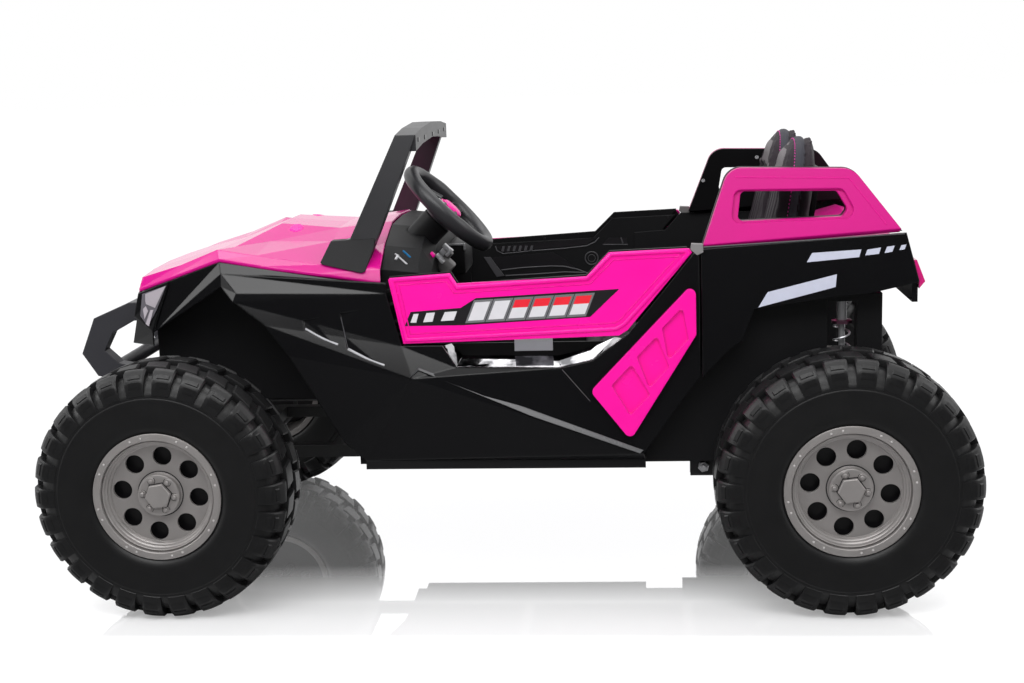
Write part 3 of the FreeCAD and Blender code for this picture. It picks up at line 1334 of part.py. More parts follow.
def knuckle(side):
    """Steering knuckle: barrel on the kingpin, stub axle out to the wheel, arm back to the track rod."""
    pin_y = side * KINGPIN_HALF_TRACK
    middle = V(FRONT_X, pin_y, AXLE_HEIGHT)
    reach = V(0, 0, KNUCKLE_HEIGHT / 2)
    barrel = rod(middle - reach, middle + reach, KNUCKLE_DIAMETER)
    stub = rod(middle, V(FRONT_X, side * AXLE_END, AXLE_HEIGHT), AXLE_DIAMETER)
    end = steer_arm_end(side)
    arm = block(end.x, FRONT_X, pin_y - ARM_PIN_DIAMETER, pin_y + ARM_PIN_DIAMETER,
                AXLE_HEIGHT - ARM_THICKNESS, AXLE_HEIGHT)
    eye = rod(end - V(0, 0, ARM_THICKNESS), end, 2 * ARM_PIN_DIAMETER)
    pin = rod(end - V(0, 0, ARM_THICKNESS + ROD_DROP + ROD_EYE_HEIGHT), end, ARM_PIN_DIAMETER)
    body = barrel.fuse(stub).fuse(arm).fuse(eye).fuse(pin)
    bore = rod(middle - reach * 2, middle + reach * 2, KINGPIN_DIAMETER + 2 * AXLE_FIT)
    return body.cut(bore).removeSplitter()


def track_rod():
    """Rod between the two steering arms, with an eye on each arm's pin."""
    z = AXLE_HEIGHT - ARM_THICKNESS - ROD_DROP - ROD_EYE_HEIGHT / 2
    left = steer_arm_end(1)
    right = steer_arm_end(-1)
    body = rod(V(right.x, right.y, z), V(left.x, left.y, z), ROD_DIAMETER)
    for end in (left, right):
        foot = V(end.x, end.y, z - ROD_EYE_HEIGHT / 2)
        body = body.fuse(rod(foot, foot + V(0, 0, ROD_EYE_HEIGHT), ROD_EYE_DIAMETER))
    for end in (left, right):
        body = body.cut(rod(V(end.x, end.y, z - ROD_EYE_HEIGHT), V(end.x, end.y, z + ROD_EYE_HEIGHT),
                            ARM_PIN_DIAMETER + 2 * SEAT_GAP))
    return body.removeSplitter()


FRONT_SHOCK_RISE = 100.0
FRONT_SHOCK_TOP = AXLE_HEIGHT + FRONT_SHOCK_RISE
TOWER_BAR = 12.0


def front_shock_mount():
    """Cross bar between the arch walls that takes the tops of the front shocks."""
    half = ARCH_HALF_SPACING - ARCH_WALL - SEAT_GAP
    return block(FRONT_X - RAIL_SIZE, FRONT_X + RAIL_SIZE, -half, half, FRONT_SHOCK_TOP + SEAT_GAP,
                 FRONT_SHOCK_TOP + SEAT_GAP + TOWER_BAR)


def export(shape, name):
    shape.exportStep("parts/" + name + ".step")


def build():
    """Every piece by its name."""
    pieces = {
        "hood": hood(),
        "side_pod_left": side_pod(),
        "side_pod_right": mirrored(side_pod()),
        "sill_strips": sill_strips(),
        "front_fascia": front_fascia(),
        "headlight_left": headlight(),
        "headlight_right": mirrored(headlight()),
        "front_bumper": front_bumper(),
        "front_arch_left": front_arch(),
        "front_arch_right": mirrored(front_arch()),
        "front_cross_members": Part.makeCompound([front_cross_member(), front_shock_mount()]),
        "windshield_frame": windshield_frame(),
        "floor_tub": floor_tub(),
        "rear_side_panel_left": rear_side_panel(),
        "rear_side_panel_right": mirrored(rear_side_panel()),
        "roll_frame_left": roll_frame(),
        "roll_frame_right": mirrored(roll_frame()),
        "roll_frame_backings": both_sides(roll_frame_backing()),
        "side_inserts": both_sides(side_insert()),
        "step_trims": both_sides(step_trim()),
        "rear_arch_liners": both_sides(rear_arch()),
        "dashboard": dashboard(),
        "steering_column": steering_column(),
        "steering_wheel": steering_wheel(),
        "wheel_badge": wheel_badge(),
        "seat_base": seat_base(),
        "seat_cushion_left": seat_cushion(1),
        "seat_cushion_right": seat_cushion(-1),
        "seat_back_left": seat_back(1),
        "seat_back_right": seat_back(-1),
        "battery": battery(),
        "rear_deck": rear_deck(),
        "tail_panel": tail_panel(),
        "tail_lamps": both_sides(tail_lamp()),
        "chassis_frame": chassis_frame(),
        "rear_pivot_brackets": rear_pivot_brackets(),
        "rear_swing_arm": rear_swing_arm(),
        "rear_axle": rear_axle(),
        "gear_motors": both_sides(gear_motor()),
        "rear_towers": both_sides(rear_tower()),
        "front_axle_beam": front_axle_beam(),
        "knuckle_left": knuckle(1),
        "knuckle_right": knuckle(-1),
        "track_rod": track_rod(),
        "door_hinges": door_hinges(),
        "door_shell_left": door_shell(),
        "door_shell_right": mirrored(door_shell()),
        "door_trim_left": door_trim(),
        "door_trim_right": mirrored(door_trim()),
    }
    x = REAR_SHOCK_shares[0] * WHEELBASE
    rear_foot = V(x, PIVOT_HALF_SPACING + ARM_WIDTH, AXLE_HEIGHT + AXLE_TUBE_DIAMETER / 2 + SEAT_GAP)
    rear_head = V(x, PIVOT_HALF_SPACING + ARM_WIDTH, TOWER_SHELF_share * BODY_HEIGHT - SEAT_GAP)
    pieces["rear_shocks"] = both_sides(shock(rear_foot, rear_head))
    front_foot = V(FRONT_X, FRONT_SHOCK_HALF_SPACING, AXLE_HEIGHT + FRONT_TUBE_DIAMETER / 2 + SEAT_GAP)
    front_head = V(FRONT_X, FRONT_SHOCK_HALF_SPACING, FRONT_SHOCK_TOP)
    pieces["front_shocks"] = both_sides(shock(front_foot, front_head))
    for x_sign, end in ((1, "front"), (-1, "rear")):
        for side, hand in ((1, "left"), (-1, "right")):
            centre = wheel_centre(x_sign, side)
            pieces["tyre_" + end + "_" + hand] = tyre(centre, side)
            pieces["rim_" + end + "_" + hand] = rim(centre, side)
    return pieces


os.makedirs("parts", exist_ok=True)
for piece_name, piece_shape in build().items():
    export(piece_shape, piece_name)
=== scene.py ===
import math

import bmesh
import bpy
from mathutils import Matrix, Vector
from mathutils.bvhtree import BVHTree


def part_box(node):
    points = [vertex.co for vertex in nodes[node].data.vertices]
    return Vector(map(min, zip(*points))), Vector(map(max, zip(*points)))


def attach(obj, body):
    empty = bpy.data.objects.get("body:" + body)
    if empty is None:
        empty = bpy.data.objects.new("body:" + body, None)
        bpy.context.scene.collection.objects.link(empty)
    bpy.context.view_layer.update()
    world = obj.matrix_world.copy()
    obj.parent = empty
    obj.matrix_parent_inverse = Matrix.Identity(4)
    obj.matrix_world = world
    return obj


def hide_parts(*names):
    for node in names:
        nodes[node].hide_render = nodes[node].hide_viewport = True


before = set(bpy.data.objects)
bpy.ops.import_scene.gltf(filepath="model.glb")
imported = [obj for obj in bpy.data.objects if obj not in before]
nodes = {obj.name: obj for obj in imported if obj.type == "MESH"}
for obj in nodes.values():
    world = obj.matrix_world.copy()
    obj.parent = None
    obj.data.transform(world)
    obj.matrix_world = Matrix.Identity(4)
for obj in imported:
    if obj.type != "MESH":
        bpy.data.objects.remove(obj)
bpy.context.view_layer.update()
scene = bpy.context.scene

# Camera
# The eye stands 2.7 m off the left side at the height of the windshield hoop, turned a little back
# and tilted a little down, with a lens that just takes in both wheels.
camera_place = Vector((-0.2113, 2.6791, 0.8468))
camera_turn = 0.0819
camera_tilt = 0.1821
camera_roll = -0.0303
lens = bpy.data.cameras.new("studio_camera")
lens.lens = 54.33
lens.sensor_width = 36.0
camera = bpy.data.objects.new("studio_camera", lens)
scene.collection.objects.link(camera)
ahead = Vector((math.sin(camera_turn) * math.cos(camera_tilt),
                -math.cos(camera_turn) * math.cos(camera_tilt), -math.sin(camera_tilt)))
level = ahead.cross(Vector((0, 0, 1))).normalized()
upright = level.cross(ahead)
right = level * math.cos(camera_roll) + upright * math.sin(camera_roll)
up = upright * math.cos(camera_roll) - level * math.sin(camera_roll)
camera.matrix_world = Matrix.Translation(camera_place) @ Matrix((right, up, -ahead)).transposed().to_4x4()
scene.camera = camera
scene.view_settings.view_transform = "Standard"


# Studio
# A glossy white acrylic floor that fades into a white backdrop, a large soft box over the near side, two
# weaker ones over the ends, and a dark card beside the camera that keeps the black mouldings black.
class Value:
    """One socket in a finish. Sums and products with it are written as plain Python."""

    def __init__(self, finish, socket):
        self.finish = finish
        self.socket = socket

    def maths(self, operation, first, second):
        return self.finish.node("ShaderNodeMath", {"operation": operation}, {0: first, 1: second})

    def __add__(self, other):
        return self.maths("ADD", self, other)

    def __sub__(self, other):
        return self.maths("SUBTRACT", self, other)

    def __rsub__(self, other):
        return self.maths("SUBTRACT", other, self)

    def __mul__(self, other):
        return self.maths("MULTIPLY", self, other)

    def most(self, other):
        return self.maths("MAXIMUM", self, other)

    __radd__ = __add__
    __rmul__ = __mul__


class Finish:
    """A surface finish: one Principled shader, its fixed sockets set by name, and the nodes that feed it."""

    def __init__(self, name, **sockets):
        self.material = bpy.data.materials.new(name)
        self.material.use_nodes = True
        self.tree = self.material.node_tree
        self.shader = self.tree.nodes["Principled BSDF"]
        for socket, value in sockets.items():
            self.feed(self.shader.inputs[socket.replace("_", " ")], value)

    def feed(self, socket, value):
        if isinstance(value, Value):
            self.tree.links.new(value.socket, socket)
        else:
            socket.default_value = value

    def node(self, kind, settings=None, inputs=None, output=0):
        made = self.tree.nodes.new(kind)
        for name, value in (settings or {}).items():
            setattr(made, name, value)
        for name, value in (inputs or {}).items():
            self.feed(made.inputs[name], value)
        return Value(self, made.outputs[output])

    def place(self):
        return self.node("ShaderNodeTexCoord", output="Object")

    def noise(self, scale, detail=2.0, roughness=0.5):
        settings = {"Vector": self.place(), "Scale": scale, "Detail": detail, "Roughness": roughness}
        return self.node("ShaderNodeTexNoise", inputs=settings)

    def blend(self, share, first, second):
        settings = {"data_type": "RGBA"}
        return self.node("ShaderNodeMix", settings, {0: share, 6: first, 7: second}, output=2)

    def rough(self, value):
        self.feed(self.shader.inputs["Roughness"], value)

    def colour(self, value):
        self.feed(self.shader.inputs["Base Color"], value)

    def relief(self, height, depth, edge=0.0):
        """A bump of a real depth, over edges that the shader rounds by a real radius."""
        inputs = {"Height": height, "Distance": depth, "Strength": 1.0}
        if edge:
            inputs["Normal"] = self.node("ShaderNodeBevel", {"samples": 6}, {"Radius": edge})
        self.feed(self.shader.inputs["Normal"], self.node("ShaderNodeBump", inputs=inputs))


def rgb(red, green, blue):
    return (red, green, blue, 1.0)


def mesh_piece(name, vertices, faces, smooth=False):
    """A new object in the scene from vertices and faces."""
    mesh = bpy.data.meshes.new(name)
    mesh.from_pydata([tuple(v) for v in vertices], [], faces)
    mesh.validate()
    tidy = bmesh.new()
    tidy.from_mesh(mesh)
    bmesh.ops.recalc_face_normals(tidy, faces=tidy.faces)
    tidy.to_mesh(mesh)
    tidy.free()
    mesh.polygons.foreach_set("use_smooth", [smooth] * len(mesh.polygons))
    piece = bpy.data.objects.new(name, mesh)
    scene.collection.objects.link(piece)
    return piece


def studio_card(name, corners, seen_by_reflections_only=False):
    card = mesh_piece(name, corners, [(0, 1, 2, 3)])
    if seen_by_reflections_only:
        card.visible_camera = False
        card.visible_diffuse = False
        card.visible_shadow = False
        card.visible_transmission = False
    return card


def backdrop_share(finish):
    """1 for the rays that see the backdrop itself: the camera's, and those in gloss and glass."""
    seen = finish.node("ShaderNodeLightPath", output="Is Camera Ray")
    glossy = finish.node("ShaderNodeLightPath", output="Is Glossy Ray")
    through = finish.node("ShaderNodeLightPath", output="Is Transmission Ray")
    return seen.most(glossy).most(through)


floor_reach = 30.0
ambient_level = 0.62
white_acrylic = Finish("white_acrylic", Roughness=0.02, Emission_Strength=1.0)
floor_y = white_acrylic.node("ShaderNodeSeparateXYZ", inputs={"Vector": white_acrylic.place()}, output=1)


def stepped(start, end, before, after):
    """A value that goes from one to another between two places across the floor."""
    inputs = {"Value": floor_y, "From Min": start, "From Max": end, "To Min": before, "To Max": after}
    return white_acrylic.node("ShaderNodeMapRange", inputs=inputs)


fading = stepped(0.18, 0.36, 0.90, 0.26)
sheet_end = stepped(0.50, 0.53, 1.0, 0.0)
mirror = fading * sheet_end
to_eye = white_acrylic.node("ShaderNodeLightPath", output="Is Camera Ray")
in_gloss = white_acrylic.node("ShaderNodeLightPath", output="Is Glossy Ray")
white_acrylic.feed(white_acrylic.shader.inputs["Metallic"], mirror)
# To glossy rays the floor turns dark grey where it is no mirror: a painted dark reflection for the mouldings
# above it.
white_acrylic.colour(white_acrylic.blend(in_gloss * (1 - mirror), rgb(0.98, 0.98, 0.99),
                                         rgb(0.10, 0.10, 0.10)))
glow = to_eye * (0.04 + (1 - mirror) * 0.34)
white_acrylic.feed(white_acrylic.shader.inputs["Emission Color"],
                   white_acrylic.blend(glow, rgb(0, 0, 0), rgb(1, 1, 1)))
floor = studio_card("studio_floor", [(-floor_reach, -floor_reach, 0), (floor_reach, -floor_reach, 0),
                                     (floor_reach, floor_reach, 0), (-floor_reach, floor_reach, 0)])
floor.data.materials.append(white_acrylic.material)

dark_card = Finish("dark_card", Base_Color=rgb(0, 0, 0), Roughness=1.0)
card_far = 3.4
card_half = 6.0
card_low = 0.02
card_high = 4.4
flag = studio_card("studio_dark_card", [(-card_half, card_far, card_low), (card_half, card_far, card_low),
                                        (card_half, card_far, card_high), (-card_half, card_far, card_high)],
                   seen_by_reflections_only=True)
flag.data.materials.append(dark_card.material)

scene.world = bpy.data.worlds.new("studio_world")
scene.world.use_nodes = True


class Backdrop(Finish):
    """The world's nodes, written in the same way as a finish."""

    def __init__(self, world):
        self.tree = world.node_tree
        self.shader = self.tree.nodes["Background"]


backdrop = Backdrop(scene.world)
backdrop.feed(backdrop.shader.inputs["Color"], rgb(1, 1, 1))
backdrop.feed(backdrop.shader.inputs["Strength"],
              ambient_level + backdrop_share(backdrop) * (1 - ambient_level))


def soft_box(name, place, aim, width, height, power):
    lamp = bpy.data.lights.new(name, "AREA")
    lamp.shape = "RECTANGLE"
    lamp.size = width
    lamp.size_y = height
    lamp.energy = power
    box = bpy.data.objects.new(name, lamp)
    box.location = place
    box.rotation_euler = (Vector(aim) - Vector(place)).to_track_quat("-Z", "Y").to_euler()
    scene.collection.objects.link(box)


soft_box("key_box", (0.3, 2.1, 2.7), (0, 0, 0.35), 3.2, 1.4, 62)
soft_box("front_box", (3.0, 0.6, 1.9), (0.3, 0, 0.4), 1.8, 1.4, 22)
soft_box("rear_box", (-3.0, 0.4, 1.9), (-0.3, 0, 0.4), 1.8, 1.4, 18)
soft_box("top_box", (0.0, -1.0, 3.2), (0, 0, 0.4), 3.4, 1.8, 36)


# Body mouldings
# Blow-moulded and injection-moulded shells: magenta ones coloured right through, black ones with a
# polished face, and black ones with a fine spark-eroded grain where hands and feet go.
def moulded(name, colour, low, high, grain, edge, **sockets):
    """Moulded plastic: cloudy gloss, faint flow marks, and a grain of a real depth."""
    finish = Finish(name, **sockets)
    cloud = finish.noise(9.0, 5.0, 0.6)
    specks = finish.noise(1300.0, 2.0, 0.6)
    darker = rgb(*[c * 0.86 for c in colour])
    finish.colour(finish.blend(cloud, darker, rgb(*colour)))
    finish.rough(low + cloud * (high - low))
    finish.relief(specks, grain, edge)
    return finish.material


magenta = moulded("magenta_shell", (0.96, 0.002, 0.35), 0.20, 0.32, 0.00002, 0.0030,
                  Specular_IOR_Level=0.34)
# The bonnet is the doors' magenta plastic; its darker base colour is painted shade against the stronger
# shine on its top.
bonnet_magenta_painted_shade = moulded("bonnet_shell", (0.66, 0.002, 0.25), 0.10, 0.18, 0.00001, 0.0030,
                         Specular_IOR_Level=0.62)
# The roll frames and rear deck are the doors' magenta plastic with a duller finish; their darker base colour
# is painted shade.
frame_shaded_magenta = moulded("deep_magenta_frame", (0.60, 0.003, 0.22), 0.30, 0.44, 0.00003, 0.0030,
                       Specular_IOR_Level=0.15)
gloss_black = moulded("gloss_black_shell", (0.0055, 0.0055, 0.0062), 0.13, 0.24, 0.00001, 0.0030,
                      Specular_IOR_Level=0.36)
grain_black = moulded("grain_black_moulding", (0.0090, 0.0090, 0.0100), 0.42, 0.58, 0.00008, 0.0020,
                      Specular_IOR_Level=0.20)
satin_black = moulded("satin_black_moulding", (0.024, 0.024, 0.027), 0.32, 0.46, 0.00003, 0.0025,
                      Specular_IOR_Level=0.50)
bumper_black = moulded("bumper_black", (0.040, 0.040, 0.047), 0.34, 0.48, 0.00003, 0.0030)


def dress(material, *names):
    for name in names:
        for material_slot in nodes[name].material_slots:
            material_slot.material = material


dress(bonnet_magenta_painted_shade, "hood")
dress(magenta, "door_shell_left", "door_shell_right", "side_inserts", "wheel_badge")
dress(frame_shaded_magenta, "roll_frame_left", "roll_frame_right", "rear_deck")
dress(gloss_black, "side_pod_left", "side_pod_right", "rear_side_panel_left", "rear_side_panel_right",
      "front_fascia", "tail_panel")
dress(grain_black, "floor_tub", "dashboard", "door_trim_left", "door_trim_right", "seat_base",
      "roll_frame_backings", "rear_arch_liners", "front_arch_left", "front_arch_right", "sill_strips",
      "steering_column", "rear_towers", "battery")
dress(satin_black, "windshield_frame", "steering_wheel")
dress(bumper_black, "front_bumper")


# Frame and running gear
# Square and round steel tube under black powder coat, zinc-plated damper bodies and axle, and the closed
# black drums of the two gear motors.
def coated_steel():
    """Powder coat: orange-peel relief and a soft shine."""
    finish = Finish("black_powder_coat")
    peel = finish.noise(420.0, 3.0, 0.5)
    finish.colour(finish.blend(finish.noise(14.0, 4.0), rgb(0.010, 0.010, 0.010), rgb(0.022, 0.022, 0.023)))
    finish.rough(0.34 + peel * 0.16)
    finish.relief(peel, 0.00006, 0.0012)
    return finish.material


def plated_steel():
    """Zinc plate: bright, with cloudy dull patches and fine drawing marks."""
    finish = Finish("zinc_plate", Metallic=0.6)
    cloud = finish.noise(38.0, 6.0, 0.62)
    finish.colour(finish.blend(cloud, rgb(0.36, 0.36, 0.37), rgb(0.62, 0.62, 0.64)))
    finish.rough(0.22 + cloud * 0.22)
    finish.relief(finish.noise(900.0, 2.0), 0.00002, 0.0010)
    return finish.material


def bright_plate():
    """Vacuum-plated trim: a mirror with slight ripples from the moulding below; its dark and bright colour
    patches are painted reflection.
    """
    finish = Finish("bright_trim_plate", Metallic=1.0, Roughness=0.06)
    ripple_and_reflection = finish.noise(26.0, 3.0)
    finish.colour(finish.blend((ripple_and_reflection - 0.40) * 5.0, rgb(0.09, 0.09, 0.095), rgb(0.60, 0.59, 0.61)))
    finish.relief(ripple_and_reflection, 0.00012, 0.0012)
    return finish.material


powder_coat = coated_steel()
zinc = plated_steel()
bright_trim = bright_plate()
dress(powder_coat, "chassis_frame", "front_cross_members", "rear_pivot_brackets", "rear_swing_arm",
      "front_axle_beam", "knuckle_left", "knuckle_right", "track_rod", "door_hinges", "gear_motors")
dress(zinc, "rear_axle", "rear_shocks", "front_shocks")
dress(bright_trim, "step_trims")


# Tail lamps
# Red moulded lenses at the two rear corners, with fine upright ribs on their inner face, screwed to the
# tail panel.
def red_lens():
    finish = Finish("red_lamp_lens", Coat_Weight=0.6)
    ribs = finish.node("ShaderNodeTexWave", {"bands_direction": "Y"},
                       {"Vector": finish.place(), "Scale": 45.0})
    finish.colour(finish.blend(ribs, rgb(0.42, 0.004, 0.10), rgb(0.75, 0.02, 0.24)))
    finish.rough(0.12 + ribs * 0.05)
    finish.relief(ribs, 0.0003, 0.001)
    return finish.material


dress(red_lens(), "tail_lamps")


# Door skins
# Magenta outer skins with a rolled edge and one raised bead inside it, a printed black banner with white and
# red blocks, and the dark lip of the inner moulding hooked over the top edge.
belt_height = 0.550
belt_half_width = 0.308
side_lean = 0.066
nose_taper = 0.022
wheelbase = 1.050


def body_line(x, z, proud=0.0):
    """How far from the middle the leaning side of the body stands, here and this far proud."""
    return belt_half_width + side_lean * (1 - z / belt_height) - nose_taper * (x / wheelbase + 0.5) + proud


def slab(outline, side, inner, outer, line=body_line):
    """A flat piece that follows a side between two distances from it."""
    count = len(outline)
    vertices = [(x, side * line(x, z, proud), z) for proud in (inner, outer) for x, z in outline]
    faces = [tuple(range(count)), tuple(range(count, 2 * count))]
    faces += [(k, (k + 1) % count, count + (k + 1) % count, count + k) for k in range(count)]
    return mesh_piece("slab", vertices, faces)


def shifted(outline, distance, closed=True):
    """An outline moved outwards in its own plane, its corners kept sharp."""
    places = [Vector(point) for point in outline]
    count = len(places)
    moved = []
    for k, here in enumerate(places):
        back = here - places[k - 1] if closed or k > 0 else places[1] - places[0]
        on = places[(k + 1) % count] - here if closed or k < count - 1 else back
        back = Vector((back.y, -back.x)).normalized()
        on = Vector((on.y, -on.x)).normalized()
        moved.append(here + (back + on) * (distance / max(1 + back.dot(on), 0.4)))
    return [(place.x, place.y) for place in moved]


def bead(outline, side, width, base, height, closed=True, line=body_line, arcs=6):
    """A raised round line along an outline."""
    vertices = []
    for k in range(arcs + 1):
        angle = math.pi * k / arcs
        for x, z in shifted(outline, -math.cos(angle) * width / 2, closed):
            vertices.append((x, side * line(x, z, base + math.sin(angle) * height), z))
    count = len(outline)
    faces = []
    rows = arcs + 1
    for k in range(rows):
        above = (k + 1) % rows
        for j in range(count if closed else count - 1):
            after = (j + 1) % count
            faces.append((k * count + j, k * count + after, above * count + after, above * count + j))
    if not closed:
        faces += [tuple(k * count for k in range(rows)), tuple(k * count + count - 1 for k in range(rows))]
    return mesh_piece("bead", vertices, faces, smooth=True)


def merged(name, pieces):
    """Several meshes made one."""
    whole = bmesh.new()
    for piece in pieces:
        whole.from_mesh(piece.data)
        bpy.data.objects.remove(piece)
    mesh = bpy.data.meshes.new(name)
    whole.to_mesh(mesh)
    whole.free()
    made = bpy.data.objects.new(name, mesh)
    scene.collection.objects.link(made)
    return made


def joined(name, pieces, material, body):
    """Several meshes made one finished piece, which rides on a body."""
    made = merged(name, pieces)
    made.data.set_sharp_from_angle(angle=math.radians(40))
    made.data.materials.append(material)
    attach(made, body)
    return made


def between(quad, along_share, up_share):
    """A place in a slanted quad: its corners are low front, high front, high rear and low rear."""
    low_front, high_front, high_rear, low_rear = (Vector(corner) for corner in quad)
    low = low_front.lerp(low_rear, along_share)
    high = high_front.lerp(high_rear, along_share)
    return tuple(low.lerp(high, up_share))


def printed(name, red, green, blue):
    """Printed vinyl film: flat ink under a thin clear coat, a little uneven."""
    finish = Finish(name, Coat_Weight=0.15)
    ink = finish.noise(60.0, 4.0)
    finish.colour(finish.blend(ink, rgb(red * 0.88, green * 0.88, blue * 0.88), rgb(red, green, blue)))
    finish.rough(0.30 + ink * 0.12)
    return finish.material


# The black ink prints the banner, and the same black paints shade in hollows and slots and shadow round the
# rims' hubs.
black_ink = printed("black_ink", 0.012, 0.011, 0.013)
white_ink = printed("white_ink", 0.66, 0.65, 0.68)
grey_ink = printed("grey_ink", 0.16, 0.16, 0.17)
red_ink = printed("red_ink", 0.80, 0.012, 0.030)
door_edge = ((0.1748, 0.5113), (0.0781, 0.5175), (0.0659, 0.4987), (-0.1352, 0.5095), (-0.1721, 0.5458),
             (-0.2904, 0.5498), (-0.2964, 0.5406), (-0.1943, 0.4318), (-0.1805, 0.4242), (0.1526, 0.4103))
banner = ((0.1515, 0.4359), (0.1419, 0.4578), (0.0626, 0.4630), (0.0381, 0.4779), (-0.1854, 0.4888),
          (-0.1398, 0.4464), (0.0584, 0.4363))
banner_blocks = (((0.1423, 0.4412), (0.1371, 0.4545), (0.1290, 0.4550), (0.1332, 0.4411)),
                 ((0.1222, 0.4416), (0.1166, 0.4558), (0.1031, 0.4566), (0.1073, 0.4423)),
                 ((0.0943, 0.4431), (0.0875, 0.4570), (0.0682, 0.4580), (0.0737, 0.4441)))
bar_field = ((0.0560, 0.4405), (0.0425, 0.4735), (-0.1480, 0.4825), (-0.1345, 0.4490))
bar_count = 6
bar_share = 0.76
two_tone_from = 2
ink_lift = 0.0004
white_end = 0.93
red_start = 0.56
sides = (("left", 1), ("right", -1))


def field_block(start, end, low, high, side, lift):
    """A printed block between shares along and up the door's row of bars."""
    corners = ((start, low), (start, high), (end, high), (end, low))
    return slab([between(bar_field, *place) for place in corners], side, 0.0, lift)


for side_name, side in sides:
    rolled = [bead(shifted(door_edge, -0.0036), side, 0.0070, -0.0002, 0.0035),
              bead(shifted(door_edge, -0.0125), side, 0.0022, -0.0002, 0.0010)]
    joined("door_roll_" + side_name, rolled, magenta, "door_" + side_name)
    lips = []
    for edge, above, inner in ((door_edge[:6], 0.0016, -0.0130), (door_edge[5:8], -0.0005, -0.0110)):
        lip = shifted(edge, above, closed=False) + shifted(edge, inner, closed=False)[::-1]
        lips.append(slab(lip, side, -0.0085, -0.0034))
    joined("door_lip_" + side_name, lips, grain_black, "door_" + side_name)
    joined("door_banner_" + side_name, [slab(banner, side, -0.0002, ink_lift)], black_ink,
           "door_" + side_name)
    whites = [slab(block, side, 0.0, 2 * ink_lift) for block in banner_blocks]
    reds = []
    greys = []
    for k in range(bar_count):
        start = (k + (1 - bar_share) / 2) / bar_count
        end = start + bar_share / bar_count
        rim_share = 0.10 / bar_count
        greys.append(field_block(start - rim_share, end + rim_share, -0.04, 1.04, side, 1.5 * ink_lift))
        half_way = red_start if k >= two_tone_from else white_end
        whites.append(field_block(start, end, 0.07, half_way, side, 2 * ink_lift))
        if k >= two_tone_from:
            reds.append(field_block(start, end, half_way, white_end, side, 2 * ink_lift))
    joined("door_blocks_" + side_name, whites, white_ink, "door_" + side_name)
    joined("door_bar_tops_" + side_name, reds, red_ink, "door_" + side_name)
    joined("door_bar_edges_" + side_name, greys, grey_ink, "door_" + side_name)


# Door inner mouldings
# Black inner halves of the doors: a ribbed arm rest, a pocket with a slanted pull bar and a double lip,
# a round speaker grille, a sunk latch and the screws that hold the skin.
trim_half_width = 0.288


def trim_face(x, z, proud=0.0):
    """The inner face of a door, which stands upright; proud is towards the seats."""
    return trim_half_width - proud


pull_bar = ((0.082, 0.466), (0.069, 0.466), (0.043, 0.429), (0.058, 0.427))
pocket = ((0.068, 0.465), (-0.052, 0.473), (-0.074, 0.460), (-0.098, 0.439), (-0.046, 0.446), (0.049, 0.440))
pocket_lips = (((0.049, 0.440), (0.008, 0.444), (-0.046, 0.446), (-0.073, 0.445), (-0.098, 0.439),
                (-0.119, 0.431)),
               ((0.041, 0.429), (-0.019, 0.431), (-0.073, 0.434), (-0.114, 0.432)))
arm_rest = ((0.059, 0.487), (0.056, 0.478), (0.044, 0.472), (-0.020, 0.477), (-0.074, 0.480),
            (-0.118, 0.484), (-0.134, 0.491), (-0.142, 0.500))
arm_recess = ((0.056, 0.486), (0.044, 0.475), (-0.118, 0.487), (-0.138, 0.500))
rib_places = (0.048, 0.037, 0.026, 0.015, 0.004, -0.007)
rib_corners = ((0, 0.4765), (-0.003, 0.4865), (-0.008, 0.4865), (-0.005, 0.4765))
speaker = (-0.127, 0.460)
latch_recess = ((-0.150, 0.487), (-0.160, 0.499), (-0.196, 0.498), (-0.196, 0.486))
latch_line = ((-0.149, 0.486), (-0.197, 0.485))
latch_lever = ((-0.184, 0.499), (-0.188, 0.487))
trim_screws = ((-0.037, 0.500), (-0.167, 0.536), (-0.275, 0.536))
# A lighter black for raised lines, seams and rolled edges: painted highlight along them.
edge_highlight_black = moulded("worn_black_edge", (0.075, 0.073, 0.080), 0.26, 0.40, 0.00002, 0.0008)
steel_screw = Finish("steel_screw", Metallic=0.5, Base_Color=rgb(0.55, 0.55, 0.57), Roughness=0.28).material


def ring_outline(middle, radius, count=20):
    turns = [2 * math.pi * k / count for k in range(count)]
    return [(middle[0] - radius * math.cos(turn), middle[1] - radius * math.sin(turn)) for turn in turns]


for side_name, side in sides:
    body = "door_" + side_name
    # Flat black patches for the pocket, the arm rest and latch recesses and the screw holes: painted shade
    # in place of hollows.
    dark = [slab(hollow, side, -0.002, 0.0004, trim_face) for hollow in (pocket, arm_recess, latch_recess)]
    dark += [slab(ring_outline(place, 0.0026, 10), side, -0.002, 0.0007, trim_face) for place in trim_screws]
    joined("trim_hollows_" + side_name, dark, black_ink, body)
    raised = [slab(pull_bar, side, -0.002, 0.0022, trim_face)]
    raised += [bead(line, side, width, 0.0, height, closed, trim_face) for line, width, height, closed in
               ((ring_outline(speaker, 0.0125), 0.0022, 0.0012, True),
                (ring_outline(speaker, 0.0070), 0.0012, 0.0006, True),
                (latch_line, 0.0018, 0.0010, False), (latch_lever, 0.0030, 0.0016, False),
                (arm_rest, 0.0022, 0.0012, False), *((lip, 0.0026, 0.0014, False) for lip in pocket_lips))]
    raised += [slab([(x + step, z) for step, z in rib_corners], side, -0.001, 0.0018, trim_face)
               for x in rib_places]
    # The raised lines are in the lighter black: painted highlight.
    joined("trim_lines_" + side_name, raised, edge_highlight_black, body)


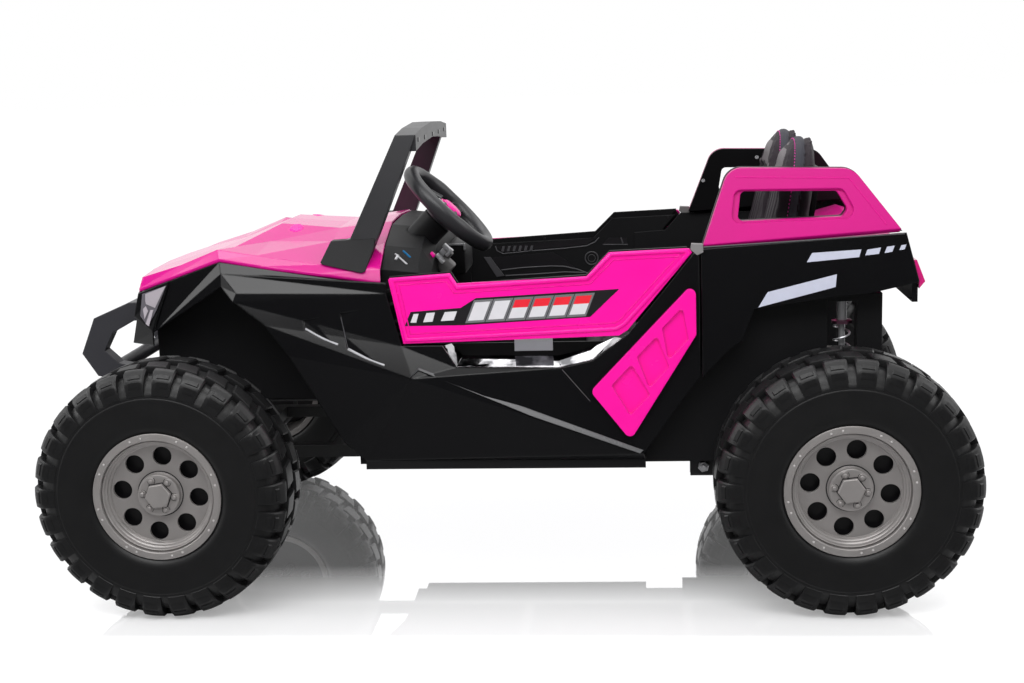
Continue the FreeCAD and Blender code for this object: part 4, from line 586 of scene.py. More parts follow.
# Rear side panels
# Gloss black panels with printed pale strokes that taper off in three dashes, and a rolled top edge. A
# grey piece over the joint of door, side moulding and rear panel is a painted highlight there.
long_stroke = ((-0.398, 0.4575), (-0.4124, 0.4806), (-0.5170, 0.5062), (-0.5150, 0.4870))
short_stroke = ((-0.472, 0.5250), (-0.480, 0.5390), (-0.5540, 0.5430), (-0.5505, 0.5315))
dashes = (((-0.5595, 0.5339), (-0.5630, 0.5426), (-0.5831, 0.5455), (-0.5801, 0.5359)),
          ((-0.5885, 0.5369), (-0.5922, 0.5465), (-0.6036, 0.5479), (-0.5999, 0.5387)),
          ((-0.6104, 0.5411), (-0.6136, 0.5484), (-0.6211, 0.5494), (-0.6182, 0.5421)))
panel_top = ((-0.316, 0.5505), (-0.470, 0.5580), (-0.6185, 0.5655))
joint_highlight_patch = ((-0.2975, 0.5560), (-0.2960, 0.5470), (-0.3060, 0.5385), (-0.3155, 0.5430), (-0.3150, 0.5550))
lavender_ink = printed("lavender_ink", 0.56, 0.58, 0.70)
# Grey for the joint patch, a painted highlight, and for the dash's switch block.
joint_highlight_and_switch_grey = moulded("grey_joint_cap", (0.20, 0.195, 0.195), 0.40, 0.55, 0.00003, 0.0015)
for side_name, side in sides:
    strokes = [slab(outline, side, -0.0002, ink_lift) for outline in (long_stroke, short_stroke, *dashes)]
    joined("rear_strokes_" + side_name, strokes, lavender_ink, "chassis")
    # The rolled top edge is in the lighter black: painted highlight along it.
    top_roll = [bead(panel_top, side, 0.0022, -0.0006, 0.0009, closed=False)]
    joined("rear_panel_roll_" + side_name, top_roll, edge_highlight_black, "chassis")
    joined("joint_cap_" + side_name, [slab(joint_highlight_patch, side, -0.0120, 0.0012)], joint_highlight_and_switch_grey, "chassis")


# Side mouldings
# Details of the blow-moulded black sides: pale grey lips along the lower edges of the two pockets, painted
# highlights there, the fine seam of the moulding tool behind the step, and a narrow facet that runs down to
# the rear.
pocket_edges = (((0.3107, 0.4338), (0.2868, 0.4211), (0.2578, 0.4095)),
                ((0.2424, 0.4027), (0.2132, 0.3883), (0.1836, 0.3771)))
short_edges = (((0.2534, 0.4511), (0.2424, 0.4027)),)
seam = ((-0.0945, 0.3656), (-0.1373, 0.3163))
wedge_top = ((0.1448, 0.3567), (0.1303, 0.3724), (-0.0437, 0.3060), (-0.2199, 0.2395))
wedge_low = ((0.1448, 0.3567), (0.1300, 0.3690), (-0.0436, 0.2967), (-0.2137, 0.2350))


def tree_of(node):
    mesh = nodes[node].data
    return BVHTree.FromPolygons([v.co.copy() for v in mesh.vertices],
                                [tuple(f.vertices) for f in mesh.polygons])


def cast_line(node):
    """Gives the outer face of a node in the side view, to lay narrow pieces on it."""
    tree = tree_of(node)

    def line(x, z, proud=0.0):
        place = tree.ray_cast(Vector((x, 0.6, z)), Vector((0, -1, 0)))[0]
        return (place.y if place else body_line(x, z)) + proud

    return line


def ramp(flush, raised_edge, side, line, rise=0.0036):
    """A narrow facet that leaves the moulding at one edge and stands out at the other."""
    count = len(flush)
    rows = ((0.0003, flush), (rise, raised_edge), (-0.0030, raised_edge))
    vertices = [(x, side * line(x, z, proud), z) for proud, edge in rows for x, z in edge]
    faces = []
    for low, high in ((0, count), (count, 2 * count), (2 * count, 0)):
        faces += [(low + k, low + k + 1, high + k + 1, high + k) for k in range(count - 1)]
    faces += [(0, count, 2 * count), (count - 1, 2 * count - 1, 3 * count - 1)]
    return mesh_piece("ramp", vertices, faces)


pod_line = cast_line("side_pod_left")
# A lighter black for the narrow facet: its tilt catches real light, and its colour adds a painted highlight.
crease_black = moulded("crease_black", (0.060, 0.060, 0.064), 0.22, 0.32, 0.00001, 0.0010)
# Pale grey for the pockets' lower lips, a painted highlight along them, and for the dash's two lines.
polished_lip = moulded("polished_lip", (0.42, 0.42, 0.44), 0.22, 0.34, 0.00002, 0.0008)
for side_name, side in sides:
    lips = [bead(edge, side, 0.0034, -0.0008, 0.0016, False, pod_line) for edge in pocket_edges]
    joined("pocket_lips_" + side_name, lips, polished_lip, "chassis")
    # The seams are in the lighter black: painted highlight along them.
    fine = [bead(edge, side, 0.0014, -0.0004, 0.0008, False, pod_line) for edge in (*short_edges, seam)]
    joined("moulding_seams_" + side_name, fine, edge_highlight_black, "chassis")
    joined("crease_lip_" + side_name, [ramp(wedge_top, wedge_low, side, pod_line)], crease_black, "chassis")


# Roll frames
# The magenta roll frames behind the doors, blow-moulded in one piece: here the fine raised line along their
# top and their rear slope.
roll_outline = ((-0.3140, 0.5484), (-0.3575, 0.6674), (-0.5465, 0.6625), (-0.6185, 0.5673))
roll_crest = shifted(roll_outline, -0.0135)[1:4]
frame_line = cast_line("roll_frame_left")
# A lighter magenta than the frames' for the crest line: painted highlight along it.
crest_highlight_magenta = moulded("deep_magenta_edge", (0.66, 0.004, 0.24), 0.26, 0.38, 0.00002, 0.0006,
                       Specular_IOR_Level=0.2)
for side_name, side in sides:
    crest = bead(roll_crest, side, 0.0026, -0.0004, 0.0011, False, frame_line)
    joined("roll_frame_edges_" + side_name, [crest], crest_highlight_magenta, "chassis")


# Bolts and nuts
# Low domed bolts through the roll frames' black inner halves, and a hexagon nut on each rear pivot: steel
# turned on a lathe and zinc-plated.
def tube_faces(rings, count):
    """The faces between rings of points, each ring closed."""
    steps = [(low, k, (k + 1) % count) for low in range(0, (rings - 1) * count, count) for k in range(count)]
    return [(low + k, low + after, low + count + after, low + count + k) for low, k, after in steps]


def turned(foot, axis, stations, facets=20):
    """A piece turned on a lathe: stations are a distance along the axis and a radius."""
    axis = Vector(axis).normalized()
    across = axis.orthogonal().normalized()
    other = axis.cross(across)
    foot = Vector(foot)
    vertices = []
    for distance, radius in stations:
        for k in range(facets):
            angle = 2 * math.pi * k / facets
            out = across * math.cos(angle) + other * math.sin(angle)
            vertices.append(foot + axis * distance + out * radius)
    faces = [tuple(range(facets)), tuple(range(len(vertices) - facets, len(vertices)))]
    faces += tube_faces(len(stations), facets)
    return mesh_piece("turned", vertices, faces, smooth=True)


frame_bolts = ((-0.340, 0.608), (-0.439, 0.650), (-0.560, 0.590))
pivot_x = -0.3145
pivot_z = 0.1935
backing_line = cast_line("roll_frame_backings")
for side_name, side in sides:
    heads = []
    for x, z in frame_bolts:
        heads.append(turned((x, side * (backing_line(x, z) - 0.0138), z), (0, -side, 0),
                            ((0, 0.0036), (0.0010, 0.0036), (0.0014, 0.0024), (0.0006, 0.0018))))
    joined("frame_bolts_" + side_name, heads, steel_screw, "chassis")
    nut = [turned((pivot_x, side * 0.2670, pivot_z), (0, side, 0),
                  ((0, 0.0090), (0.0050, 0.0090), (0.0060, 0.0080)), 6),
           turned((pivot_x, side * 0.2720, pivot_z), (0, side, 0),
                  ((0, 0.0045), (0.0060, 0.0045), (0.0068, 0.0036)))]
    joined("pivot_nut_" + side_name, nut, zinc, "chassis")


# Rims
# Pressed wheels in grey titanium paint: a riveted clamp ring over a groove, a rolled lip, a dished face with
# eight round holes, and a hub cap with six nuts round a plain hexagon.
def titanium_paint():
    finish = Finish("titanium_paint", Metallic=0.45)
    flake = finish.noise(1500.0, 2.0)
    cloud = finish.noise(20.0, 4.0)
    finish.colour(finish.blend(cloud, rgb(0.27, 0.256, 0.250), rgb(0.38, 0.358, 0.350)))
    finish.rough(0.30 + flake * 0.10)
    finish.relief(flake, 0.00002, 0.0008)
    return finish.material


rim_paint = titanium_paint()
rim_section = ((0.0225, 0.0040), (0.0225, 0.0340), (0.0218, 0.0765), (0.0200, 0.0775), (0.0178, 0.0780),
               (0.0170, 0.0800), (0.0160, 0.0808), (0.0125, 0.0812), (0.0115, 0.0832), (0.0105, 0.0840),
               (0.0066, 0.0845), (0.0054, 0.0858), (0.0056, 0.0868), (0.0075, 0.0874), (0.0078, 0.0884),
               (0.0010, 0.0886), (0.0000, 0.0896), (0.0000, 0.0985), (0.0010, 0.1000), (0.0040, 0.1000),
               (0.0041, 0.0937), (0.1380, 0.0937), (0.1380, 0.1000), (0.1420, 0.1000), (0.1420, 0.0897),
               (0.0300, 0.0897), (0.0272, 0.0765), (0.0268, 0.0040))
dish_depth = 0.0225
hole_count = 8
hole_circle = 0.060
hole_radius = 0.0148
rivet_circle = 0.0945
nut_circle = 0.0250
cap_section = ((0, 0.0345), (0.0020, 0.0345), (0.0026, 0.0328), (0.0122, 0.0325), (0.0130, 0.0315),
               (0.0130, 0.0290), (0.0126, 0.0280), (0.0126, 0.0040))
nut_section = ((0, 0.0056), (0.0012, 0.0056), (0.0018, 0.0050), (0.0012, 0.0038), (0.0012, 0.0034),
               (0.0042, 0.0032), (0.0052, 0.0022))
hexagon_section = ((0, 0.0206), (0.0060, 0.0206), (0.0074, 0.0190))
rim_phases = {"front": math.radians(-6.0), "rear": math.radians(-8.5)}


def on_rim(turn, radius, depth):
    """A place on a rim that stands at the origin and faces left; turn is seen from outside."""
    return Vector((-math.cos(math.radians(turn)) * radius, -depth, math.sin(math.radians(turn)) * radius))


def bored(piece, bores):
    """A piece with round holes cut through it."""
    cut = piece.modifiers.new("bores", "BOOLEAN")
    cut.operation = "DIFFERENCE"
    cut.object = bores
    mesh = bpy.data.meshes.new_from_object(piece.evaluated_get(bpy.context.evaluated_depsgraph_get()))
    made = bpy.data.objects.new("bored", mesh)
    scene.collection.objects.link(made)
    for used in (piece, bores):
        bpy.data.objects.remove(used)
    return made


inwards = (0, -1, 0)
outwards = (0, 1, 0)
bores = merged("bores", [turned(on_rim(360 * k / hole_count, hole_circle, 0.010), inwards,
                                ((0, hole_radius), (0.030, hole_radius)), 40) for k in range(hole_count)])
nut_places = [on_rim(60 * k, nut_circle, dish_depth - 0.0110) for k in range(6)]
rim_parts = [bored(turned((0, 0, 0), inwards, rim_section, 96), bores),
             turned((0, -dish_depth - 0.001, 0), outwards, cap_section, 64)]
rim_parts += [turned(place, outwards, nut_section, 20) for place in nut_places]
rim_parts.append(turned((0, -dish_depth + 0.0110, 0), outwards, hexagon_section, 6))
pressed_rim = merged("rim_shape", rim_parts)
rivet_turns = [360 * (k + 0.5) / hole_count + step for k in range(hole_count) for step in (-5.3, 5.3)]
rivets = merged("rivet_shape", [turned(on_rim(turn, rivet_circle, 0.0010), outwards,
                                       ((0, 0.0019), (0.0018, 0.0019), (0.0023, 0.0011)), 10)
                                for turn in rivet_turns])
# Thin black rings round the hub cap, the hexagon and the nuts, and a black disc behind the holes: painted
# shadow.
painted_shadow_rings = [turned((0, -dish_depth - 0.001, 0), outwards, ((0, 0.0362), (0.0013, 0.0362)), 48),
        turned((0, -dish_depth + 0.0110, 0), outwards, ((0, 0.0222), (0.0008, 0.0222)), 6),
        turned((0, -0.0460, 0), outwards, ((0, 0.0880), (0.0050, 0.0880), (0.0052, 0.0370)), 48)]
painted_shadow_rings += [turned(place, outwards, ((0, 0.0064), (0.0007, 0.0064)), 20) for place in nut_places]
painted_shadow_rings = merged("gap_shape", painted_shadow_rings)
rivet_bright = Finish("rivet_steel", Metallic=0.3, Base_Color=rgb(0.55, 0.53, 0.52), Roughness=0.26).material
for name in [node for node in nodes if node.startswith("rim_")]:
    low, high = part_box(name)
    side = 1 if low.y > 0 else -1
    stand = Matrix.Translation(((low.x + high.x) / 2, high.y if side > 0 else low.y, (low.z + high.z) / 2))
    phase = rim_phases["front" if "front" in name else "rear"]
    stand = stand @ Matrix.Diagonal((1, side, 1, 1)) @ Matrix.Rotation(phase, 4, "Y")
    body = "wheel_" + name[4:]
    for start_name, shape, material, slot_name in (("pressed_", pressed_rim, rim_paint, "rim_grey"),
                                                   ("rivets_", rivets, rivet_bright, "rim_grey"),
                                                   ("rim_painted_shadows_", painted_shadow_rings, black_ink, "black_matte_plastic")):
        stood = mesh_piece("stood", [stand @ v.co for v in shape.data.vertices],
                           [tuple(f.vertices) for f in shape.data.polygons], smooth=True)
        made = joined(start_name + name, [stood], material, body)
        if shape is pressed_rim:
            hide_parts(name)
for shape in (pressed_rim, rivets, painted_shadow_rings):
    bpy.data.objects.remove(shape)


# Windshield hoop
# The two feet of the black moulded hoop, which lap down over the bonnet's shoulders and are screwed there,
# and black patches under its header bar, painted shade where sunk slots sit. The hoop holds no pane.
foot_outline = ((0.2745, 0.5630), (0.2870, 0.5345), (0.2840, 0.5320), (0.2215, 0.5190), (0.2170, 0.5205),
                (0.2060, 0.5560), (0.2060, 0.5660))
foot_top = 0.563
foot_half_width = 0.2435
foot_flare = 0.85


def foot_face(x, z, proud=0.0):
    """The outer face of the hoop's feet, which flare out downwards."""
    return foot_half_width + (foot_top - z) * foot_flare + proud


for side_name, side in sides:
    foot = [slab(shifted(foot_outline, -0.0015), side, -0.0240, 0.0, foot_face),
            slab(foot_outline, side, -0.0240, -0.0015, foot_face)]
    joined("hoop_foot_" + side_name, foot, grain_black, "chassis")


def block(centre, half, face=(0, 0, 1)):
    """A bevelled moulded block whose top looks along a direction."""
    shape = bmesh.new()
    bmesh.ops.create_cube(shape, size=1.0)
    bmesh.ops.scale(shape, vec=[2 * size for size in half], verts=shape.verts)
    bmesh.ops.bevel(shape, geom=list(shape.edges), offset=min(half) * 0.35, segments=2, profile=0.5,
                    affect="EDGES")
    turn = Vector((0, 0, 1)).rotation_difference(Vector(face))
    place = Matrix.Translation(centre) @ turn.to_matrix().to_4x4()
    vertices = [place @ v.co for v in shape.verts]
    faces = [tuple(v.index for v in f.verts) for f in shape.faces]
    made = mesh_piece("block", vertices, faces)
    shape.free()
    return made


header_slot_places = (0.173, 0.093, -0.012, -0.093, -0.173)
slot_shades = [block((0.1366, y, 0.7195), (0.0010, 0.0085, 0.0036)) for y in header_slot_places]
joined("header_slots", slot_shades, black_ink, "chassis")


# Bonnet badges
# Two shallow oval pads near the bonnet's rear edge, one above each headlight, moulded in and left blank.
pad_places = ((0.3625, 0.094), (0.3625, -0.094))
pad_size = (0.0125, 0.0165)
pad_facets = 28
bonnet_tree = tree_of("hood")
pads = []
for pad_x, pad_y in pad_places:
    pad_points = []
    for ring_share, rise in ((1.0, -0.0005), (0.86, 0.0014), (0.5, 0.0018)):
        for k in range(pad_facets):
            angle = 2 * math.pi * k / pad_facets
            x = pad_x + math.cos(angle) * pad_size[0] * ring_share
            y = pad_y + math.sin(angle) * pad_size[1] * ring_share
            top = bonnet_tree.ray_cast(Vector((x, y, 0.9)), Vector((0, 0, -1)))[0]
            pad_points.append((x, y, top.z + rise))
    pad_faces = tube_faces(3, pad_facets) + [tuple(range(2 * pad_facets, 3 * pad_facets))]
    pads.append(mesh_piece("pad", pad_points, pad_faces, smooth=True))
joined("bonnet_pads", pads, magenta, "chassis")


# Headlights
# Gloss black lamp bodies in the nose with a clear cover let into each side, over silver reflector facets.
lamp_cover = ((0.5875, 0.4865), (0.5440, 0.5005), (0.5640, 0.4600), (0.5805, 0.4335), (0.5945, 0.4500))
lamp_facets = (((0.5819, 0.4862), (0.5452, 0.4998), (0.5659, 0.4639), (0.5836, 0.4700)),
               ((0.5747, 0.4603), (0.5689, 0.4607), (0.5784, 0.4340), (0.5842, 0.4376)),
               ((0.5886, 0.4612), (0.5830, 0.4663), (0.5790, 0.4582), (0.5861, 0.4450)))
lamp_line = cast_line("headlight_left")
reflector = Finish("lamp_reflector", Base_Color=rgb(0.44, 0.40, 0.44), Metallic=0.1, Roughness=0.25).material
cover_clear = Finish("clear_cover", Base_Color=rgb(0.16, 0.15, 0.17), Metallic=0.2, Roughness=0.05).material
dress(gloss_black, "headlight_left", "headlight_right")
for side_name, side in sides:
    joined("lamp_cover_" + side_name, [slab(lamp_cover, side, -0.0020, 0.0018, lamp_line)], cover_clear,
           "chassis")
    facets = [slab(facet, side, -0.0010, 0.0030, lamp_line) for facet in lamp_facets]
    joined("lamp_facets_" + side_name, facets, reflector, "chassis")


# Cab
# A blank silver plate glued on the tub's wall behind the left door's step, and the moulded kick panels that
# close the footwell in front of the doors.
plate_outline = ((-0.0187, 0.4160), (-0.0793, 0.4160), (-0.0793, 0.3895), (-0.0187, 0.3895))
kick_outline = ((0.105, 0.400), (0.240, 0.400), (0.240, 0.500), (0.105, 0.500))
tub_half_width = 0.286


def tub_face(x, z, proud=0.0):
    """The side of the tub, which stands upright."""
    return tub_half_width + proud


silver_film = printed("silver_film", 0.50, 0.51, 0.55)
joined("blank_plate", [slab(plate_outline, 1, -0.0002, 0.0005, tub_face)], silver_film, "chassis")
for side_name, side in sides:
    joined("kick_panel_" + side_name, [slab(kick_outline, side, -0.0240, -0.0210, tub_face)], grain_black,
           "chassis")


# Dashboard fittings
# The column's moulded shroud with its screw, a blue-lit start switch, a plated rocker, plated switches on a
# raised block, the key's magenta tab, and a glove box with two bright lines above it, all clipped in.
column_axis = Vector((0.7071, 0, -0.7071))
wheel_hub = Vector((0.0966, 0.130, 0.6028))
shroud_section = ((0, 0.0200), (0.006, 0.0225), (0.034, 0.0235), (0.036, 0.0215), (0.040, 0.0215),
                  (0.042, 0.0245), (0.064, 0.0255), (0.066, 0.0200), (0.074, 0.0200))
shroud = turned(wheel_hub + column_axis * 0.022, column_axis, shroud_section, 32)
joined("column_shroud", [shroud], satin_black, "chassis")
screw_at = wheel_hub + column_axis * 0.080 + Vector((-0.0032, 0.0240, -0.0032))
joined("column_screw", [turned(screw_at, (0, 1, 0), ((0, 0.0042), (0.0024, 0.0042), (0.0036, 0.0024)), 16)],
       steel_screw, "chassis")
driver_face = (-0.7071, 0, 0.7071)
console_blocks = (((0.108, 0.112, 0.506), (0.014, 0.016, 0.012)),
                  ((0.105, 0.112, 0.521), (0.006, 0.012, 0.010)))
console = [block(centre, half, driver_face) for centre, half in console_blocks]
joined("switch_block", console, joint_highlight_and_switch_grey, "chassis")
joined("glove_box", [block((0.104, -0.062, 0.499), (0.018, 0.060, 0.027))], grain_black, "chassis")
switch_blocks = (((0.103, 0.122, 0.536), (0.0075, 0.009, 0.0030)),
                 ((0.110, 0.122, 0.529), (0.0050, 0.009, 0.0060)),
                 ((0.099, 0.124, 0.528), (0.0030, 0.008, 0.0070)),
                 ((0.113, 0.150, 0.524), (0.0065, 0.010, 0.0028)),
                 ((0.109, 0.152, 0.5185), (0.0050, 0.009, 0.0026)))
plated = [block(centre, half, driver_face) for centre, half in switch_blocks]
joined("plated_switches", plated, steel_screw, "chassis")
joined("key_tab", [block((0.121, 0.178, 0.531), (0.0045, 0.006, 0.0040), driver_face)], magenta, "chassis")
blue_light = Finish("blue_start_ring", Base_Color=rgb(0.004, 0.08, 0.18), Roughness=0.25,
                    Emission_Color=rgb(0.0, 0.06, 0.16), Emission_Strength=0.5).material
ring = [turned((0.1638, 0.2123, 0.5432), (-0.0148, 0.0148, -0.0106),
               ((0, 0.0010), (0.0010, 0.0020), (0.0210, 0.0020), (0.0220, 0.0010)), 12)]
joined("start_light", ring, blue_light, "chassis")
rocker = [turned((0.1758, 0.2205, 0.5396), (-0.0228, 0.0214, -0.0155),
                 ((0, 0.0008), (0.0010, 0.0018), (0.0330, 0.0018), (0.0340, 0.0008)), 12),
          turned((0.1735, 0.2345, 0.5310), (-0.0040, -0.0150, 0.0080),
                 ((0, 0.0010), (0.0010, 0.0024), (0.0130, 0.0024), (0.0140, 0.0010)), 12)]
joined("rocker_trim", rocker, steel_screw, "chassis")
lines = [block((0.103, -0.0015, 0.5262), (0.013, 0.0016, 0.0014)),
         block((0.0875, -0.0015, 0.5215), (0.0014, 0.0016, 0.0060))]
joined("dash_lines", lines, polished_lip, "chassis")


# Steering wheel
# A thick moulded rim with flats for the thumbs, three spokes with a sunk groove along their faces, and a
# raised pad that carries the blank magenta badge.
wheel_tilt = Vector((-0.7071, 0, 0.7071))
wheel_across = Vector((0, 1, 0))
wheel_up = wheel_tilt.cross(wheel_across)
rim_radius = 0.0835
grip_out = 0.0120
grip_deep = 0.0130


def on_wheel(across, up, out):
    return wheel_hub + wheel_across * across + wheel_up * up + wheel_tilt * out


def wheel_rim():
    vertices = []
    faces = []
    turns = 96
    arcs = 16
    for k in range(turns):
        turn = 2 * math.pi * k / turns
        thumb = 1 + 0.10 * math.exp(-((math.degrees(turn) % 180 - 25) / 12) ** 2)
        for j in range(arcs):
            arc = 2 * math.pi * j / arcs
            radius = rim_radius + math.cos(arc) * grip_out * thumb - max(0.0, thumb - 1) * grip_out
            vertices.append(on_wheel(math.cos(turn) * radius, math.sin(turn) * radius,
                                     math.sin(arc) * grip_deep * thumb))
    for k in range(turns):
        for j in range(arcs):
            a = k * arcs + j
            b = k * arcs + (j + 1) % arcs
            c = ((k + 1) % turns) * arcs
            faces.append((a, b, c + (j + 1) % arcs, c + j))
    return mesh_piece("rim", vertices, faces, smooth=True)


def spoke(angle, wide, narrow):
    """A dished spoke: a bar that narrows outwards, with a sunk groove along its face."""
    out = Vector((math.cos(angle), math.sin(angle)))
    aside = Vector((-out.y, out.x))
    vertices = []
    stations = ((0.020, wide, 0.002), (0.045, (wide + narrow) / 2, -0.004), (0.078, narrow, -0.002))
    section = ((-1, -0.5), (-1, 0.35), (-0.7, 0.5), (-0.5, 0.22), (0.5, 0.22), (0.7, 0.5), (1, 0.35),
               (1, -0.5))
    for reach, half, lift in stations:
        for s, h in section:
            at = out * reach + aside * half * s
            vertices.append(on_wheel(at.x, at.y, lift + h * 0.011))
    count = len(section)
    faces = [tuple(range(count)), tuple(range(2 * count, 3 * count))]
    return mesh_piece("spoke", vertices, faces + tube_faces(3, count))


hub_section = ((0, 0.024), (0.006, 0.029), (0.024, 0.030), (0.027, 0.026), (0.029, 0.018))
wheel_parts = [wheel_rim(), spoke(0.12, 0.015, 0.011), spoke(math.pi - 0.12, 0.015, 0.011),
               spoke(-math.pi / 2, 0.013, 0.010),
               turned(on_wheel(0, 0, -0.028), wheel_tilt, hub_section, 32)]
wheel_body = joined("grip_wheel", wheel_parts, satin_black, "steering_wheel")
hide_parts("steering_wheel")
grey_button = moulded("grey_button", (0.30, 0.30, 0.31), 0.30, 0.42, 0.00003, 0.0006)
buttons = [block(on_wheel(0.043, -0.016, 0.004), (0.0065, 0.0110, 0.0028), wheel_tilt),
           block(on_wheel(0.043, 0.003, 0.003), (0.0085, 0.0110, 0.0028), wheel_tilt)]
joined("wheel_buttons", buttons, grey_button, "steering_wheel")
dome = turned(on_wheel(0, 0.004, 0.0015), wheel_tilt,
              ((0, 0.0196), (0.0035, 0.0192), (0.0062, 0.0160), (0.0072, 0.0090)), 32)
joined("badge_dome", [dome], magenta, "steering_wheel")


# Springs
# Coil-over dampers: zinc bodies and rods with eyes, wound steel springs, and magenta-tinted cups that set
# the height.
spring_turns = 7
wire = 0.0017
coil = 0.0125
end_zone = 0.012
damper_shares = ((0, 0.0078), (0.15, 0.0078), (0.16, 0.0095), (0.60, 0.0095), (0.61, 0.0050), (0.84, 0.0050),
                 (0.85, 0.0078), (1, 0.0078))


def spring(foot, head):
    """A wound wire from a low cup to a high cup."""
    foot = Vector(foot)
    rise = Vector(head) - foot
    axis = rise.normalized()
    across = axis.orthogonal().normalized()
    other = axis.cross(across)
    vertices = []
    steps = spring_turns * 18
    arcs = 6
    for k in range(steps + 1):
        angle = 2 * math.pi * spring_turns * k / steps
        out = across * math.cos(angle) + other * math.sin(angle)
        centre = foot + rise * (k / steps) + out * coil
        for j in range(arcs):
            arc = 2 * math.pi * j / arcs
            vertices.append(centre + out * math.cos(arc) * wire + axis * math.sin(arc) * wire)
    faces = tube_faces(steps + 1, arcs)
    faces += [tuple(range(arcs)), tuple(range(steps * arcs, (steps + 1) * arcs))]
    return mesh_piece("spring", vertices, faces, smooth=True)


cup_tint = Finish("anodised_cup", Metallic=1.0, Base_Color=rgb(0.52, 0.24, 0.36), Roughness=0.30).material
for shock_name in ("rear_shocks", "front_shocks"):
    low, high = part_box(shock_name)
    middle_x = (low.x + high.x) / 2
    springs = []
    cups = []
    bodies = []
    for side in (1, -1):
        places = [v.co for v in nodes[shock_name].data.vertices if v.co.y * side > 0]
        tops = [place.y for place in places if place.z > high.z - end_zone]
        feet = [place.y for place in places if place.z < low.z + end_zone]
        head = Vector((middle_x, (min(tops) + max(tops)) / 2, high.z))
        foot = Vector((middle_x, (min(feet) + max(feet)) / 2, low.z))
        up_line = head - foot
        springs.append(spring(foot + up_line * 0.20, foot + up_line * 0.84))
        for share, tall in ((0.155, 0.007), (0.185, 0.004), (0.845, 0.005)):
            cup_section = ((0, 0.0120), (0.001, 0.0160), (tall, 0.0160), (tall + 0.001, 0.0120))
            cups.append(turned(foot + up_line * share, up_line, cup_section, 24))
        body_section = [(up_line.length * share, radius) for share, radius in damper_shares]
        bodies.append(turned(foot, up_line, body_section))
    name = shock_name[:-7]
    damper = joined(name + "_dampers", bodies, zinc, "chassis")
    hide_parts(shock_name)
    joined(name + "_springs", springs, steel_screw, "chassis")
    joined(name + "_spring_cups", cups, cup_tint, "chassis")


# Gearbox cover
# A closed black moulded cover between the front arch walls, over the steering box, clipped to both walls.
cover_place = (0.405, 0.0, 0.330)
cover_half = (0.110, 0.115, 0.060)
joined("gearbox_cover", [block(cover_place, cover_half)], grain_black, "chassis")


# Tyres
# Moulded balloon tyres: a smooth sidewall with one raised ring, stepped shoulder lugs, and slanted
# blocks between them across the crown, set half a pitch apart on the two sides.
tyre_nodes = [name for name in nodes if name.startswith("tyre_")]
tyre_low, tyre_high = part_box("tyre_front_left")
tyre_radius = (tyre_high[2] - tyre_low[2]) / 2
tyre_half_width = (tyre_high[1] - tyre_low[1]) / 2
lug_count = 26
around = lug_count * 8
# Half sections from the crown to the bead, as shares of the radius and of the half width.
crown_line = ((1.000, 0.000), (0.999, 0.200), (0.995, 0.480), (0.985, 0.747), (0.950, 0.860), (0.905, 0.947),
              (0.800, 0.995))
groove_line = ((0.955, 0.000), (0.955, 0.200), (0.940, 0.480), (0.925, 0.690), (0.905, 0.800),
               (0.865, 0.890), (0.795, 0.985))
sidewall_line = ((0.778, 0.985), (0.772, 0.995), (0.762, 0.998), (0.752, 0.992), (0.700, 1.000),
                 (0.620, 1.000), (0.570, 0.995), (0.530, 0.965), (0.505, 0.900), (0.472, 0.890))


def along(line, share):
    """A point at a share of the way along a line, as a radius and a place across the tyre."""
    place = share * (len(line) - 1)
    first = min(int(place), len(line) - 2)
    part = place - first
    radius = line[first][0] * (1 - part) + line[first + 1][0] * part
    across = line[first][1] * (1 - part) + line[first + 1][1] * part
    return radius * tyre_radius, across * tyre_half_width


def on_tyre(turn, radius, across):
    """A point of a tyre that stands at the origin; turn counts pitches of the lugs."""
    angle = turn * 2 * math.pi / lug_count
    return (radius * math.cos(angle), across, radius * math.sin(angle))


def tyre_carcass(vertices, faces):
    half = [along(groove_line, k / 20) for k in range(21)]
    half += [(r * tyre_radius, a * tyre_half_width) for r, a in sidewall_line]
    section = [(r, -a) for r, a in reversed(half)] + half[1:]
    for step in range(around):
        for radius, across in section:
            vertices.append(on_tyre(step * lug_count / around, radius, across))
    count = len(section)
    for step in range(around):
        here = step * count
        there = (step + 1) % around * count
        for k in range(count):
            after = (k + 1) % count
            faces.append((here + k, here + after, there + after, there + k))


def tread_block(vertices, faces, corners, side, shift, top=1.0, steps=(4, 6), chamfer=0.07):
    """One block: corners are (turn, share of the way from the crown to the sidewall)."""
    wide, long = steps
    first, second, third, fourth = (Vector(corner) for corner in corners)
    start = len(vertices)
    for level in ("top", "rim", "foot"):
        for i in range(wide + 1):
            for j in range(long + 1):
                u = i / wide
                v = j / long
                if level == "top":
                    u = chamfer + u * (1 - 2 * chamfer)
                    v = chamfer * 0.6 + v * (1 - 1.2 * chamfer)
                turn, share = first.lerp(second, u).lerp(fourth.lerp(third, u), v)
                high = along(crown_line, share)
                low = along(groove_line, share)
                lift = {"top": top, "rim": top - 0.22, "foot": -0.15}[level]
                radius = low[0] + (high[0] - low[0]) * lift
                across = low[1] + (high[1] - low[1]) * lift
                vertices.append(on_tyre(turn + shift, radius, side * across))
    row = long + 1
    layer = (wide + 1) * row
    for i in range(wide):
        for j in range(long):
            a = start + i * row + j
            faces.append((a, a + 1, a + row + 1, a + row))
    border = [(i, 0) for i in range(wide)] + [(wide, j) for j in range(long)]
    border += [(i, long) for i in range(wide, 0, -1)] + [(0, j) for j in range(long, 0, -1)]
    for k, (i, j) in enumerate(border):
        ni, nj = border[(k + 1) % len(border)]
        for upper in (0, 1):
            a = start + upper * layer + i * row + j
            b = start + upper * layer + ni * row + nj
            faces.append((a, b, b + layer, a + layer))


